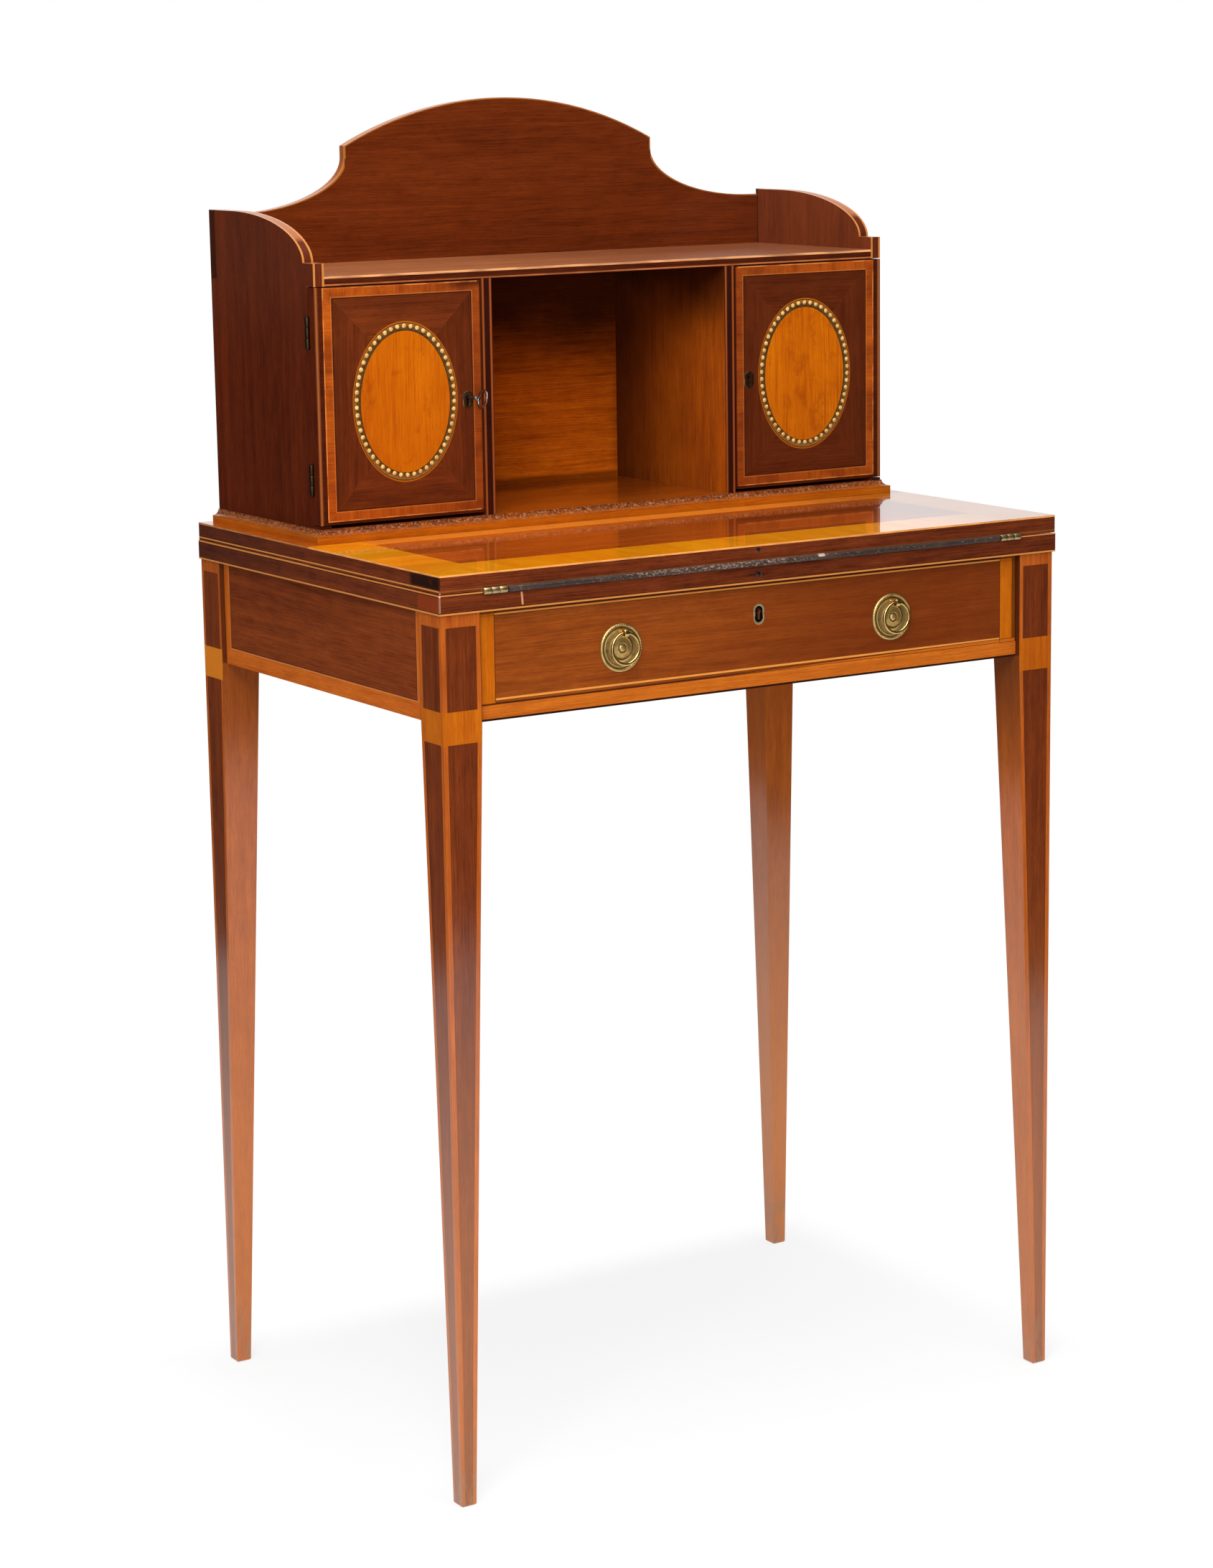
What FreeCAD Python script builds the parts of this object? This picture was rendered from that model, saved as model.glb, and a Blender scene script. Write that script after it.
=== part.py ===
"""Bonheur du jour: a small writing desk on square tapered legs.

A frieze with one long drawer carries a fixed top. A hinged flap lies folded on the front half of the
top, and opens forward onto the pulled-out drawer. A small cabinet with two cupboards and an open middle
stands on the back half.

Frame, in millimetres: origin on the floor under the middle of the overall box, +X to the sitter's right,
+Y from the sitter to the back, +Z up.
"""
import FreeCAD, Part
import math
import os

Vec = FreeCAD.Vector

# ------------------------------------------------------------------ driving dimensions, table
leg_span_x = 600.0            # outer face to outer face of the legs
leg_span_y = 420.0
table_height = 760.0          # floor to the top of the folded flap
leg_square = 35.0             # the leg's block beside the frieze
leg_foot = 13.5               # the leg's square at the floor
foot_chamfer = 1.2
apron_height = 87.7           # frieze, from its underside, where the taper starts, to the fixed top

flap_thickness = 14.7
top_thickness = 16.0
seam_gap = 0.6                # between the folded flap and the fixed top
top_overhang = 2.0            # of the fixed top beyond the legs, front and sides
flap_inset = 0.8              # the flap's ends stand back from the fixed top's ends
flap_depth = 217.5
flap_back_gap = 0.4           # between the flap and the board under the cabinet

frieze_thickness = 20.0
frieze_recess = 3.5           # side frieze behind the legs' outer faces
back_rail_thickness = 18.0
back_rail_recess = 2.0
tenon_length = 16.0
tenon_thickness = 7.0
tenon_shoulder = 9.0          # above and below the frieze tenons
front_rail_height = 12.9
front_rail_depth = 45.0
front_rail_tenon_height = 6.3
front_rail_tenon_depth = 20.0

# ------------------------------------------------------------------ driving dimensions, drawer
drawer_recess = 5.0           # drawer face behind the legs' front faces
drawer_gap = 0.8              # around the drawer front, at the ends and the top
slide_gap = 0.35              # under the drawer sides
drawer_front_thickness = 20.0
drawer_lap = 5.0              # of the drawer front over the dovetails
drawer_side_thickness = 9.0
drawer_back_thickness = 9.0
drawer_bottom_thickness = 6.0
drawer_bottom_rise = 6.5      # drawer bottom above the lower edge of the sides
drawer_groove = 4.0
drawer_tail_space = 20.0      # between the drawer and the back rail
drawer_tails = 3
dovetail_slope = 0.16
runner_width = 27.0
kicker_height = 8.0
guide_height = 28.0
guide_gap = 0.6
stop_size = 18.0
stop_height = 3.6
stop_centre = 130.0
glue_block_size = 14.0
glue_block_length = 28.0
glue_block_spacing = 160.0

# ------------------------------------------------------------------ driving dimensions, cabinet
case_end_inset = 16.0         # cabinet ends inside the legs' outer faces
case_back_inset = 6.5         # cabinet back in front of the legs' back faces
side_thickness = 10.0
back_thickness = 9.0
back_rebate = 5.0
floor_thickness = 11.3
shelf_thickness = 8.0
divider_thickness = 10.0
door_width = 155.8
door_thickness = 10.7
door_height = 194.3
door_floor_gap = 3.0
door_head_gap = 0.7
door_edge_gap = 1.2
door_back_gap = 0.3
housing_depth = 3.0
post_depth = 18.0             # flat step of the side boards at the front
post_rise = 10.7              # of that step above the shelf
gallery_rise = 38.5           # of the side boards' curve above the step
gallery_run = 125.0
shoulder_height = 262.0       # back board: cabinet foot to the shoulders
shoulder_flat = 12.0
ear_foot = 307.0              # cabinet foot to the foot of the ears
ear_height = 9.8
ear_half = 157.0
crest_height = 355.0          # cabinet foot to the crest
plinth_margin = 3.2           # of the board under the cabinet in front of the moulding
moulding_projection = 6.6
moulding_face = 6.2           # height of the plain face under the cavetto
moulding_fillet = 1.0
moulding_hollow = 0.9         # depth of the cavetto behind its chord

oval_key_gap = 6.1            # between the oval and the keyhole escutcheon
oval_end_margin = 32.4        # door's edge to the oval, top and bottom
oval_depth = 0.9
oval_gap = 0.15               # between the oval and its ring of beads
bead_band = 6.0
bead_rise = 1.1
bead_count = 60
door_post_strip = 9.5         # strip of the door front that lies over the side board
inlay_gap = 0.05

# ------------------------------------------------------------------ driving dimensions, brass and steel
flap_hinge_inset = 48.7       # hinge centre from the flap's ends
flap_hinge_width = 21.0
flap_hinge_leaf = 26.0
flap_knuckle_radius = 2.8
flap_pin_radius = 1.3
flap_leaf_thickness = 1.2
door_hinge_height = 26.0
door_hinge_inset = 37.0       # hinge centre from the door's top and bottom
door_hinge_leaf = 8.6
door_knuckle_radius = 2.0
door_pin_radius = 0.9
door_leaf_thickness = 1.0
door_pin_stand = 1.2          # hinge pin outside the side board
pin_clearance = 0.06
pin_stand = 0.3               # flap hinge pin in front of the edges
knuckle_gap = 0.3
knuckle_sides = 12

leather_thickness = 0.8
leather_margin = 17.0
fold_radius = 2.7
fold_end_gap = 1.5

key_height = 97.3             # of the door keyholes above the door's lower edge
key_inset = 13.8              # of the door keyholes from the door's free edge
drawer_key_drop = 23.7        # of the drawer keyhole below the drawer front's top
keyhole_radius = 2.2
keyhole_drop = 7.0
keyhole_slot = 2.4
door_escutcheon_width = 10.0
door_escutcheon_height = 15.0
drawer_escutcheon_width = 11.0
drawer_escutcheon_height = 17.5
escutcheon_thickness = 1.2
escutcheon_stand = 0.3
door_lock_width = 25.0
door_lock_height = 36.0
door_lock_thickness = 8.0
drawer_lock_width = 46.0
drawer_lock_thickness = 10.0
drawer_lock_recess = 8.0
lock_plate = 1.5
key_room = 7.5                # radius that the key's bit sweeps inside a lock
bolt_height = 5.0
bolt_thickness = 3.4
bolt_throw = 5.0
bolt_gap = 0.35
key_shank_radius = 1.6
key_bit_reach = 6.4
key_bit_width = 1.7
key_stand = 12.0              # from the door's face to the bow
key_bow_reach = 22.0          # of the bow, from back to front
key_bow_height = 17.0
key_bow_wire = 1.3            # half the thickness of the bow's rim

pull_inset = 130.7            # of the pulls from the drawer front's ends
pull_centre_drop = 40.6       # below the drawer front's top
pull_plate_radius = 19.8
pull_rim_width = 3.0
pull_rim_height = 2.0
pull_plate_thickness = 0.9
pull_step_height = 1.7
pull_boss_radius = 9.3
pull_boss_height = 4.0
pull_ring_radius = 12.6
pull_wire_radius = 1.5
ring_wire_sides = 6
ring_lengths = 32
pull_eye_stand = 7.5          # eye in front of the drawer's face
pull_eye_radius = 2.3
pull_head_radius = 3.6
pull_eye_thickness = 4.4
pull_stem_radius = 2.0
pull_nut_size = 8.0
pull_nut_thickness = 3.0
edge_screw_radius = 2.0
edge_screw_length = 9.0
screw_sides = 12
edge_screw_x = -5.0
top_screw_rise = 7.5          # edge screw above the fixed top's underside
flap_screw_drop = 4.3         # edge screw below the folded flap's upper face

# ------------------------------------------------------------------ places worked out from those
half_x = leg_span_x / 2
hinge_reach = top_overhang + pin_stand + flap_knuckle_radius
pull_reach = pull_eye_stand + pull_head_radius - drawer_recess
front_y = (max(hinge_reach, pull_reach) - leg_span_y) / 2
back_y = front_y + leg_span_y
top_z0 = table_height - flap_thickness - seam_gap - top_thickness
apron_bottom = top_z0 - apron_height
top_z1 = top_z0 + top_thickness
flap_z0 = top_z1 + seam_gap
flap_z1 = table_height
top_front = front_y - top_overhang
top_half = half_x + top_overhang
flap_half = top_half - flap_inset
flap_hinge_centre = flap_half - flap_hinge_inset
flap_back = top_front + flap_depth
plinth_front = flap_back + flap_back_gap
top_screw_z = top_z0 + top_screw_rise
flap_screw_z = flap_z1 - flap_screw_drop
leg_inner_x = half_x - leg_square
front_leg_back = front_y + leg_square
back_leg_front = back_y - leg_square
frieze_outer = half_x - frieze_recess
frieze_inner = frieze_outer - frieze_thickness
back_rail_back = back_y - back_rail_recess
back_rail_front = back_rail_back - back_rail_thickness
rail_y0 = front_y + drawer_recess
rail_y1 = rail_y0 + front_rail_depth
rail_z1 = apron_bottom + front_rail_height

drawer_half = leg_inner_x - drawer_gap
drawer_y0 = rail_y0
drawer_y1 = drawer_y0 + drawer_front_thickness
drawer_back_y = back_rail_front - drawer_tail_space
drawer_z0 = rail_z1 + slide_gap
drawer_z1 = top_z0 - drawer_gap
drawer_side_z1 = top_z0 - kicker_height - slide_gap
bottom_z0 = drawer_z0 + drawer_bottom_rise
bottom_z1 = bottom_z0 + drawer_bottom_thickness
runner_inner = frieze_inner - runner_width

case_half = half_x - case_end_inset
case_inner = case_half - side_thickness
case_front = plinth_front + plinth_margin + moulding_projection
case_back_y = back_y - case_back_inset
back_board_front = case_back_y - back_thickness
case_z0 = table_height
floor_z1 = case_z0 + floor_thickness
door_z0 = floor_z1 + door_floor_gap
door_z1 = door_z0 + door_height
shelf_z0 = door_z1 + door_head_gap
shelf_z1 = shelf_z0 + shelf_thickness
post_z = shelf_z1 + post_rise
gallery_z = post_z + gallery_rise
door_free_edge = case_half - door_width
divider_outer = door_free_edge - door_edge_gap
divider_inner = divider_outer - divider_thickness
door_back = case_front + door_thickness
case_cut_y = door_back + door_back_gap
door_pin_x = case_half + door_pin_stand
door_pin_y = door_back + door_back_gap / 2
door_key_x = door_free_edge + key_inset
door_key_z = door_z0 + key_height
oval_x = (case_half - door_post_strip + door_free_edge) / 2
oval_z = (door_z0 + door_z1) / 2
oval_half_width = oval_x - door_key_x - door_escutcheon_width / 2 - oval_key_gap
oval_half_height = door_height / 2 - oval_end_margin
drawer_key_z = drawer_z1 - drawer_key_drop
pull_centre_x = drawer_half - pull_inset
pull_centre_z = drawer_z1 - pull_centre_drop
pull_eye_y = drawer_y0 - pull_eye_stand
pull_eye_z = pull_centre_z + pull_ring_radius
flap_pin_y = top_front - pin_stand
flap_pin_z = top_z1 + seam_gap / 2


# ------------------------------------------------------------------ helpers
def box(x0, x1, y0, y1, z0, z1):
    """Box between two corners, given in either order."""
    low = Vec(min(x0, x1), min(y0, y1), min(z0, z1))
    return Part.makeBox(abs(x1 - x0), abs(y1 - y0), abs(z1 - z0), low)


def rod(radius, start, end):
    """Cylinder from one point to another."""
    run = end - start
    return Part.makeCylinder(radius, run.Length, start, run)


def faceted_rod(radius, sides, start, end):
    """Many-sided prism round the line between two points."""
    run = end - start
    along = Vec(run).normalize()
    across = along.cross(Vec(0.6, 0.64, 0.48)).normalize()
    up = along.cross(across)
    points = []
    for i in range(sides):
        turn = 2 * math.pi * (i + 0.5) / sides
        points.append(start + across * (radius * math.cos(turn)) + up * (radius * math.sin(turn)))
    return prism(points, run)


def prism(points, run):
    """Closed polygon pushed along a vector."""
    return Part.Face(Part.makePolygon(points + [points[0]])).extrude(run)


def face_of(edges):
    return Part.Face(Part.Wire(Part.__sortEdges__(edges)))


def line(a, b):
    return Part.LineSegment(Vec(a[0], a[1], 0), Vec(b[0], b[1], 0)).toShape()


def arc(a, b, c):
    """Circular arc through three points of a flat sketch."""
    return Part.Arc(Vec(a[0], a[1], 0), Vec(b[0], b[1], 0), Vec(c[0], c[1], 0)).toShape()


def ellipse_arc(centre, across, up, start, end):
    """Part of an upright ellipse of a flat sketch, from one angle to another, in degrees."""
    turn = 90 if up > across else 0
    curve = Part.Ellipse(Vec(0, 0, 0), max(across, up), min(across, up))
    edge = curve.toShape(math.radians(start - turn), math.radians(end - turn))
    edge.rotate(Vec(0, 0, 0), Vec(0, 0, 1), turn)
    edge.translate(Vec(centre[0], centre[1], 0))
    return edge


def stand_in_xz(shape):
    """Turns a flat sketch upright: sketch x, y become X, Z."""
    shape.rotate(Vec(0, 0, 0), Vec(1, 0, 0), 90)
    return shape


def stand_in_yz(shape):
    """Turns a flat sketch upright: sketch x, y become Y, Z."""
    shape.rotate(Vec(0, 0, 0), Vec(1, 1, 1), 120)
    return shape


def save(name, *solids):
    shape = solids[0] if len(solids) == 1 else Part.makeCompound(list(solids))
    shape.exportStep("parts/" + name + ".step")


def side_name(side):
    return "left" if side < 0 else "right"


# ------------------------------------------------------------------ legs and frieze
def side_tenon(side, end):
    """Tenon of a side frieze in a leg."""
    middle = side * (frieze_outer - frieze_thickness / 2)
    shoulder = front_leg_back if end < 0 else back_leg_front
    tip = shoulder + end * tenon_length
    low = apron_bottom + tenon_shoulder
    high = top_z0 - tenon_shoulder
    return box(middle - tenon_thickness / 2, middle + tenon_thickness / 2, shoulder, tip, low, high)


def back_tenon(side):
    """Tenon of the back rail in a back leg."""
    middle = (back_rail_front + back_rail_back) / 2
    tip = leg_inner_x + tenon_length
    low = apron_bottom + tenon_shoulder
    high = top_z0 - tenon_shoulder
    y0 = middle - tenon_thickness / 2
    return box(side * leg_inner_x, side * tip, y0, y0 + tenon_thickness, low, high)


def front_tenon(side):
    """Flat tenon of the rail under the drawer in a front leg."""
    low = apron_bottom + (front_rail_height - front_rail_tenon_height) / 2
    y0 = rail_y0 + (leg_square - drawer_recess - front_rail_tenon_depth) / 2
    x1 = side * (leg_inner_x + tenon_length)
    return box(side * leg_inner_x, x1, y0, y0 + front_rail_tenon_depth, low, low + front_rail_tenon_height)


def taper_across(side):
    """Wedge that tapers a leg's inner face, from the foot up to the frieze, across the desk."""
    x_in = side * leg_inner_x
    x_foot = side * (half_x - leg_foot)
    beyond = side * (leg_inner_x - 1)
    points = [Vec(x_foot, -leg_span_y, 0), Vec(x_in, -leg_span_y, apron_bottom),
              Vec(beyond, -leg_span_y, apron_bottom), Vec(beyond, -leg_span_y, 0)]
    return prism(points, Vec(0, 2 * leg_span_y, 0))


def taper_back(end):
    """The same wedge for the inner face that looks to the back or the front."""
    outer = front_y if end < 0 else back_y
    y_in = outer - end * leg_square
    points = [Vec(-leg_span_x, outer - end * leg_foot, 0), Vec(-leg_span_x, y_in, apron_bottom),
              Vec(-leg_span_x, y_in - end, apron_bottom), Vec(-leg_span_x, y_in - end, 0)]
    return prism(points, Vec(2 * leg_span_x, 0, 0))


def leg(side, end):
    """Square leg whose outer faces stay plumb, so that all the taper is on the two inner faces."""
    outer = front_y if end < 0 else back_y
    body = box(side * leg_inner_x, side * half_x, outer, outer - end * leg_square, 0, top_z0)
    body = body.cut([taper_across(side), taper_back(end)])
    foot_edges = [e for e in body.Edges if max(v.Z for v in e.Vertexes) < foot_chamfer]
    body = body.makeChamfer(foot_chamfer, foot_edges)
    return body.cut([side_tenon(side, end), front_tenon(side) if end < 0 else back_tenon(side)])


def side_frieze(side):
    board = box(side * frieze_inner, side * frieze_outer, front_leg_back, back_leg_front, apron_bottom, top_z0)
    return board.fuse([side_tenon(side, -1), side_tenon(side, 1)]).removeSplitter()


def back_rail():
    board = box(-leg_inner_x, leg_inner_x, back_rail_front, back_rail_back, apron_bottom, top_z0)
    return board.fuse([back_tenon(-1), back_tenon(1)]).removeSplitter()


def front_rail():
    """Rail under the drawer, notched round the inner corners of the front legs."""
    board = box(-leg_inner_x, leg_inner_x, rail_y0, rail_y1, apron_bottom, rail_z1)
    return board.fuse([front_tenon(-1), front_tenon(1)]).removeSplitter()


def drawer_runner(side):
    """Runner under the drawer's side with the guide strip beside it, in one L-shaped length."""
    y0 = rail_y1
    y1 = back_leg_front
    runner = box(side * runner_inner, side * frieze_inner, y0, y1, apron_bottom, rail_z1)
    guide_x = drawer_half + guide_gap
    guide = box(side * guide_x, side * frieze_inner, y0, y1, rail_z1, rail_z1 + guide_height)
    return runner.fuse(guide).removeSplitter()


def drawer_kicker(side):
    """Strip under the top that keeps the pulled-out drawer from tipping."""
    return box(side * runner_inner, side * frieze_inner, front_leg_back, back_leg_front,
               top_z0 - kicker_height, top_z0)


def drawer_stop(side):
    """Small block on the front rail behind the drawer front."""
    middle = side * stop_centre
    y0 = drawer_y1 + slide_gap
    return box(middle - stop_size / 2, middle + stop_size / 2, y0, y0 + stop_size, rail_z1, rail_z1 + stop_height)


def glue_block(middle):
    """Three-cornered block in the angle of the back rail and the top."""
    x = middle - glue_block_length / 2
    points = [Vec(x, back_rail_front, top_z0), Vec(x, back_rail_front - glue_block_size, top_z0),
              Vec(x, back_rail_front, top_z0 - glue_block_size)]
    return prism(points, Vec(glue_block_length, 0, 0))


# ------------------------------------------------------------------ hinges
def knuckle_spans(length):
    """Ends of the three knuckles along the pin, measured from the hinge's middle."""
    third = length / 3
    return [(-length / 2, -third / 2), (-third / 2, third / 2), (third / 2, length / 2)]


def hinge(length, leaf, leaf_thickness, radius, pin_radius, rise, stand):
    """Butt hinge about the local Z axis, closed, with its leaves along local +X.

    The fixed leaf lies on the +Y side and carries the outer knuckles and the pin. The moving leaf lies on
    the -Y side. rise is half the gap between the leaves, and stand is the pin's distance before the edge.
    """
    spans = knuckle_spans(length)
    outer = [faceted_rod(radius, knuckle_sides, Vec(0, 0, a), Vec(0, 0, b)) for a, b in (spans[0], spans[2])]
    pin = rod(pin_radius, Vec(0, 0, -length / 2), Vec(0, 0, length / 2))
    slack = knuckle_gap / 2
    z0 = spans[1][0] + slack
    z1 = spans[1][1] - slack
    inner = faceted_rod(radius, knuckle_sides, Vec(0, 0, z0), Vec(0, 0, z1))
    inner = inner.cut(rod(pin_radius + pin_clearance, Vec(0, 0, z0 - 1), Vec(0, 0, z1 + 1)))
    keep_out = radius + knuckle_gap
    reach = stand + leaf
    fixed = box(0, reach, rise, rise + leaf_thickness, -length / 2, length / 2)
    fixed = fixed.cut(box(-keep_out, keep_out, 0, keep_out, spans[1][0] - slack, spans[1][1] + slack))
    fixed = fixed.cut(rod(pin_radius, Vec(0, 0, -length), Vec(0, 0, length)))
    fixed = fixed.fuse(outer + [pin]).removeSplitter()
    moving = box(0, reach, -rise - leaf_thickness, -rise, -length / 2, length / 2)
    moving = moving.cut([box(-keep_out, keep_out, -keep_out, 0, -length, spans[0][1] + slack),
                         box(-keep_out, keep_out, -keep_out, 0, spans[2][0] - slack, length),
                         rod(pin_radius + pin_clearance, Vec(0, 0, -length), Vec(0, 0, length))])
    moving = moving.fuse(inner).removeSplitter()
    return fixed, moving


def place(shape, x_axis, y_axis, z_axis, origin):
    """Carries a shape from its local axes to the desk's."""
    matrix = FreeCAD.Matrix(x_axis.x, y_axis.x, z_axis.x, origin.x,
                            x_axis.y, y_axis.y, z_axis.y, origin.y,
                            x_axis.z, y_axis.z, z_axis.z, origin.z,
                            0, 0, 0, 1)
    moved = shape.copy()
    moved.Placement = FreeCAD.Placement(matrix)
    return moved


def flap_hinge(side):
    fixed, moving = hinge(flap_hinge_width, flap_hinge_leaf, flap_leaf_thickness, flap_knuckle_radius,
                          flap_pin_radius, seam_gap / 2, pin_stand)
    origin = Vec(side * flap_hinge_centre, flap_pin_y, flap_pin_z)
    axes = (Vec(0, 1, 0), Vec(0, 0, -1), Vec(-1, 0, 0))
    return place(fixed, *axes, origin), place(moving, *axes, origin)


def door_hinge_heights():
    return [door_z0 + door_hinge_inset, door_z1 - door_hinge_inset]


def door_hinge(side, z):
    fixed, moving = hinge(door_hinge_height, door_hinge_leaf, door_leaf_thickness, door_knuckle_radius,
                          door_pin_radius, door_back_gap / 2, door_pin_stand)
    origin = Vec(side * door_pin_x, door_pin_y, z)
    axes = (Vec(-side, 0, 0), Vec(0, 1, 0), Vec(0, 0, -side))
    return place(fixed, *axes, origin), place(moving, *axes, origin)


def flap_hinge_gains(lower):
    """Room for the flap hinges in the fixed top, or in the flap."""
    gains = []
    for side in (-1, 1):
        x0 = side * flap_hinge_centre - flap_hinge_width / 2
        x1 = x0 + flap_hinge_width
        z0 = top_z1 - flap_leaf_thickness if lower else flap_z0
        gains.append(box(x0, x1, top_front - 1, top_front + flap_hinge_leaf, z0, z0 + flap_leaf_thickness))
        relief = flap_knuckle_radius + knuckle_gap
        gains.append(box(x0 - knuckle_gap, x1 + knuckle_gap, top_front - 1, flap_pin_y + relief,
                         flap_pin_z - relief, flap_pin_z + relief))
    return gains


def door_hinge_gains(side, on_case):
    """Room for a door's hinges in the side board, or in the door."""
    gains = []
    for z in door_hinge_heights():
        z0 = z - door_hinge_height / 2
        z1 = z + door_hinge_height / 2
        y0 = case_cut_y if on_case else door_back - door_leaf_thickness
        x_in = case_half - door_hinge_leaf
        gains.append(box(side * (case_half + 1), side * x_in, y0, y0 + door_leaf_thickness, z0, z1))
        relief = door_knuckle_radius + knuckle_gap
        gains.append(box(side * (door_pin_x - relief), side * (door_pin_x + 1), door_pin_y - relief,
                         door_pin_y + relief, z0 - knuckle_gap, z1 + knuckle_gap))
    return gains


# ------------------------------------------------------------------ top and flap
def leather_outline(low, high):
    """Leather in the writing surface. It runs out to the front edge between the hinges."""
    across = flap_half - leather_margin
    neck = flap_hinge_centre - flap_hinge_width / 2 - fold_end_gap
    behind_hinge = top_front + flap_hinge_leaf + fold_end_gap
    back = flap_back - leather_margin
    points = [(-neck, top_front), (neck, top_front), (neck, behind_hinge), (across, behind_hinge),
              (across, back), (-across, back), (-across, behind_hinge), (-neck, behind_hinge)]
    return prism([Vec(x, y, low) for x, y in points], Vec(0, 0, high - low))


def edge_screw(z):
    """Screw sunk in the front edge of a leaf, its head flush."""
    start = Vec(edge_screw_x, top_front, z)
    return faceted_rod(edge_screw_radius, screw_sides, start, start + Vec(0, edge_screw_length, 0))


def fixed_top():
    board = box(-top_half, top_half, top_front, back_y, top_z0, top_z1)
    cuts = flap_hinge_gains(True)
    cuts.append(leather_outline(top_z1 - leather_thickness, top_z1 + 1))
    cuts.append(edge_screw(top_screw_z))
    cuts.append(drawer_bolt_box(bolt_gap * 2, top_z0, top_z0 + bolt_throw + 2 * bolt_gap))
    return board.cut(cuts)


def writing_flap():
    board = box(-flap_half, flap_half, top_front, flap_back, flap_z0, flap_z1)
    cuts = flap_hinge_gains(False)
    cuts.append(leather_outline(flap_z0 - 1, flap_z0 + leather_thickness))
    cuts.append(edge_screw(flap_screw_z))
    return board.cut(cuts)


def leather_fold():
    """Leather that rolls round the hinge line from the lower leaf to the flap, outside the front edges."""
    half = flap_hinge_centre - flap_hinge_width / 2 - fold_end_gap
    y0 = top_front - pin_stand
    whole = rod(fold_radius, Vec(-half, y0, flap_pin_z), Vec(half, y0, flap_pin_z))
    return whole.cut(box(-half, half, y0, y0 + 2 * fold_radius, flap_pin_z - 9, flap_pin_z + 9))


def plinth_board():
    return box(-flap_half, flap_half, plinth_front, back_y, top_z1, table_height)


# ------------------------------------------------------------------ base moulding
def moulding_profile():
    """Cavetto over a plain face. Sketch x is the projection from the cabinet, sketch y the height."""
    cove_in = moulding_fillet
    cove_out = moulding_projection - moulding_fillet
    cove_top = floor_thickness - moulding_fillet
    across = cove_out - cove_in
    rise = cove_top - moulding_face
    chord = math.hypot(across, rise)
    mid = ((cove_in + cove_out) / 2 - moulding_hollow * rise / chord,
           (cove_top + moulding_face) / 2 - moulding_hollow * across / chord)
    edges = [line((0, 0), (moulding_projection, 0)),
             line((moulding_projection, 0), (moulding_projection, moulding_face)),
             line((moulding_projection, moulding_face), (cove_out, moulding_face)),
             arc((cove_out, moulding_face), mid, (cove_in, cove_top)),
             line((cove_in, cove_top), (cove_in, floor_thickness)),
             line((cove_in, floor_thickness), (0, floor_thickness)),
             line((0, floor_thickness), (0, 0))]
    return face_of(edges)


def base_moulding_front():
    """Front length, mitred at both ends."""
    reach = case_half + moulding_projection
    outline = moulding_profile()
    placed = place(outline, Vec(0, -1, 0), Vec(0, 0, 1), Vec(-1, 0, 0), Vec(reach, case_front, case_z0))
    length = placed.extrude(Vec(-2 * reach, 0, 0))
    out = case_front - moulding_projection
    plan = [Vec(-case_half, case_front, case_z0), Vec(case_half, case_front, case_z0),
            Vec(reach, out, case_z0), Vec(-reach, out, case_z0)]
    return length.common(prism(plan, Vec(0, 0, floor_thickness)))


def base_moulding_return(side):
    """Side length, mitred at the front and cut square at the back."""
    outline = moulding_profile()
    start = case_front - moulding_projection
    placed = place(outline, Vec(side, 0, 0), Vec(0, 0, 1), Vec(0, -side, 0), Vec(side * case_half, start, case_z0))
    length = placed.extrude(Vec(0, case_back_y - start, 0))
    reach = side * (case_half + moulding_projection)
    plan = [Vec(side * case_half, case_front, case_z0), Vec(reach, start, case_z0),
            Vec(reach, case_back_y, case_z0), Vec(side * case_half, case_back_y, case_z0)]
    return length.common(prism(plan, Vec(0, 0, floor_thickness)))


# ------------------------------------------------------------------ cabinet
def shelf_tongue(side):
    """End of the shelf in its stopped housing in a side board."""
    return box(side * case_inner, side * (case_inner + housing_depth), case_front + post_depth,
               back_board_front, shelf_z0, shelf_z1)


def case_side(side):
    """Side board with its stepped and swept top, cut back in front for the door that laps over it."""
    step = case_front + post_depth
    crest = step + gallery_run
    edges = [line((case_front, case_z0), (case_front, post_z)),
             line((case_front, post_z), (step, post_z)),
             ellipse_arc((crest, post_z), gallery_run, gallery_rise, 90, 180),
             line((crest, gallery_z), (case_back_y, gallery_z)),
             line((case_back_y, gallery_z), (case_back_y, case_z0)),
             line((case_back_y, case_z0), (case_front, case_z0))]
    board = stand_in_yz(face_of(edges)).extrude(Vec(side_thickness, 0, 0))
    board.translate(Vec(-case_half if side < 0 else case_inner, 0, 0))
    cuts = door_hinge_gains(side, True)
    cuts.append(box(side * (case_inner - 1), side * (case_half + 1), case_front - 1, case_cut_y,
                    door_z0 - door_head_gap, shelf_z0))
    cuts.append(shelf_tongue(side))
    cuts.append(box(side * (case_inner - 1), side * (case_half - back_rebate), back_board_front,
                    case_back_y + 1, case_z0 - 1, gallery_z + 1))
    return board.cut(cuts)


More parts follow.
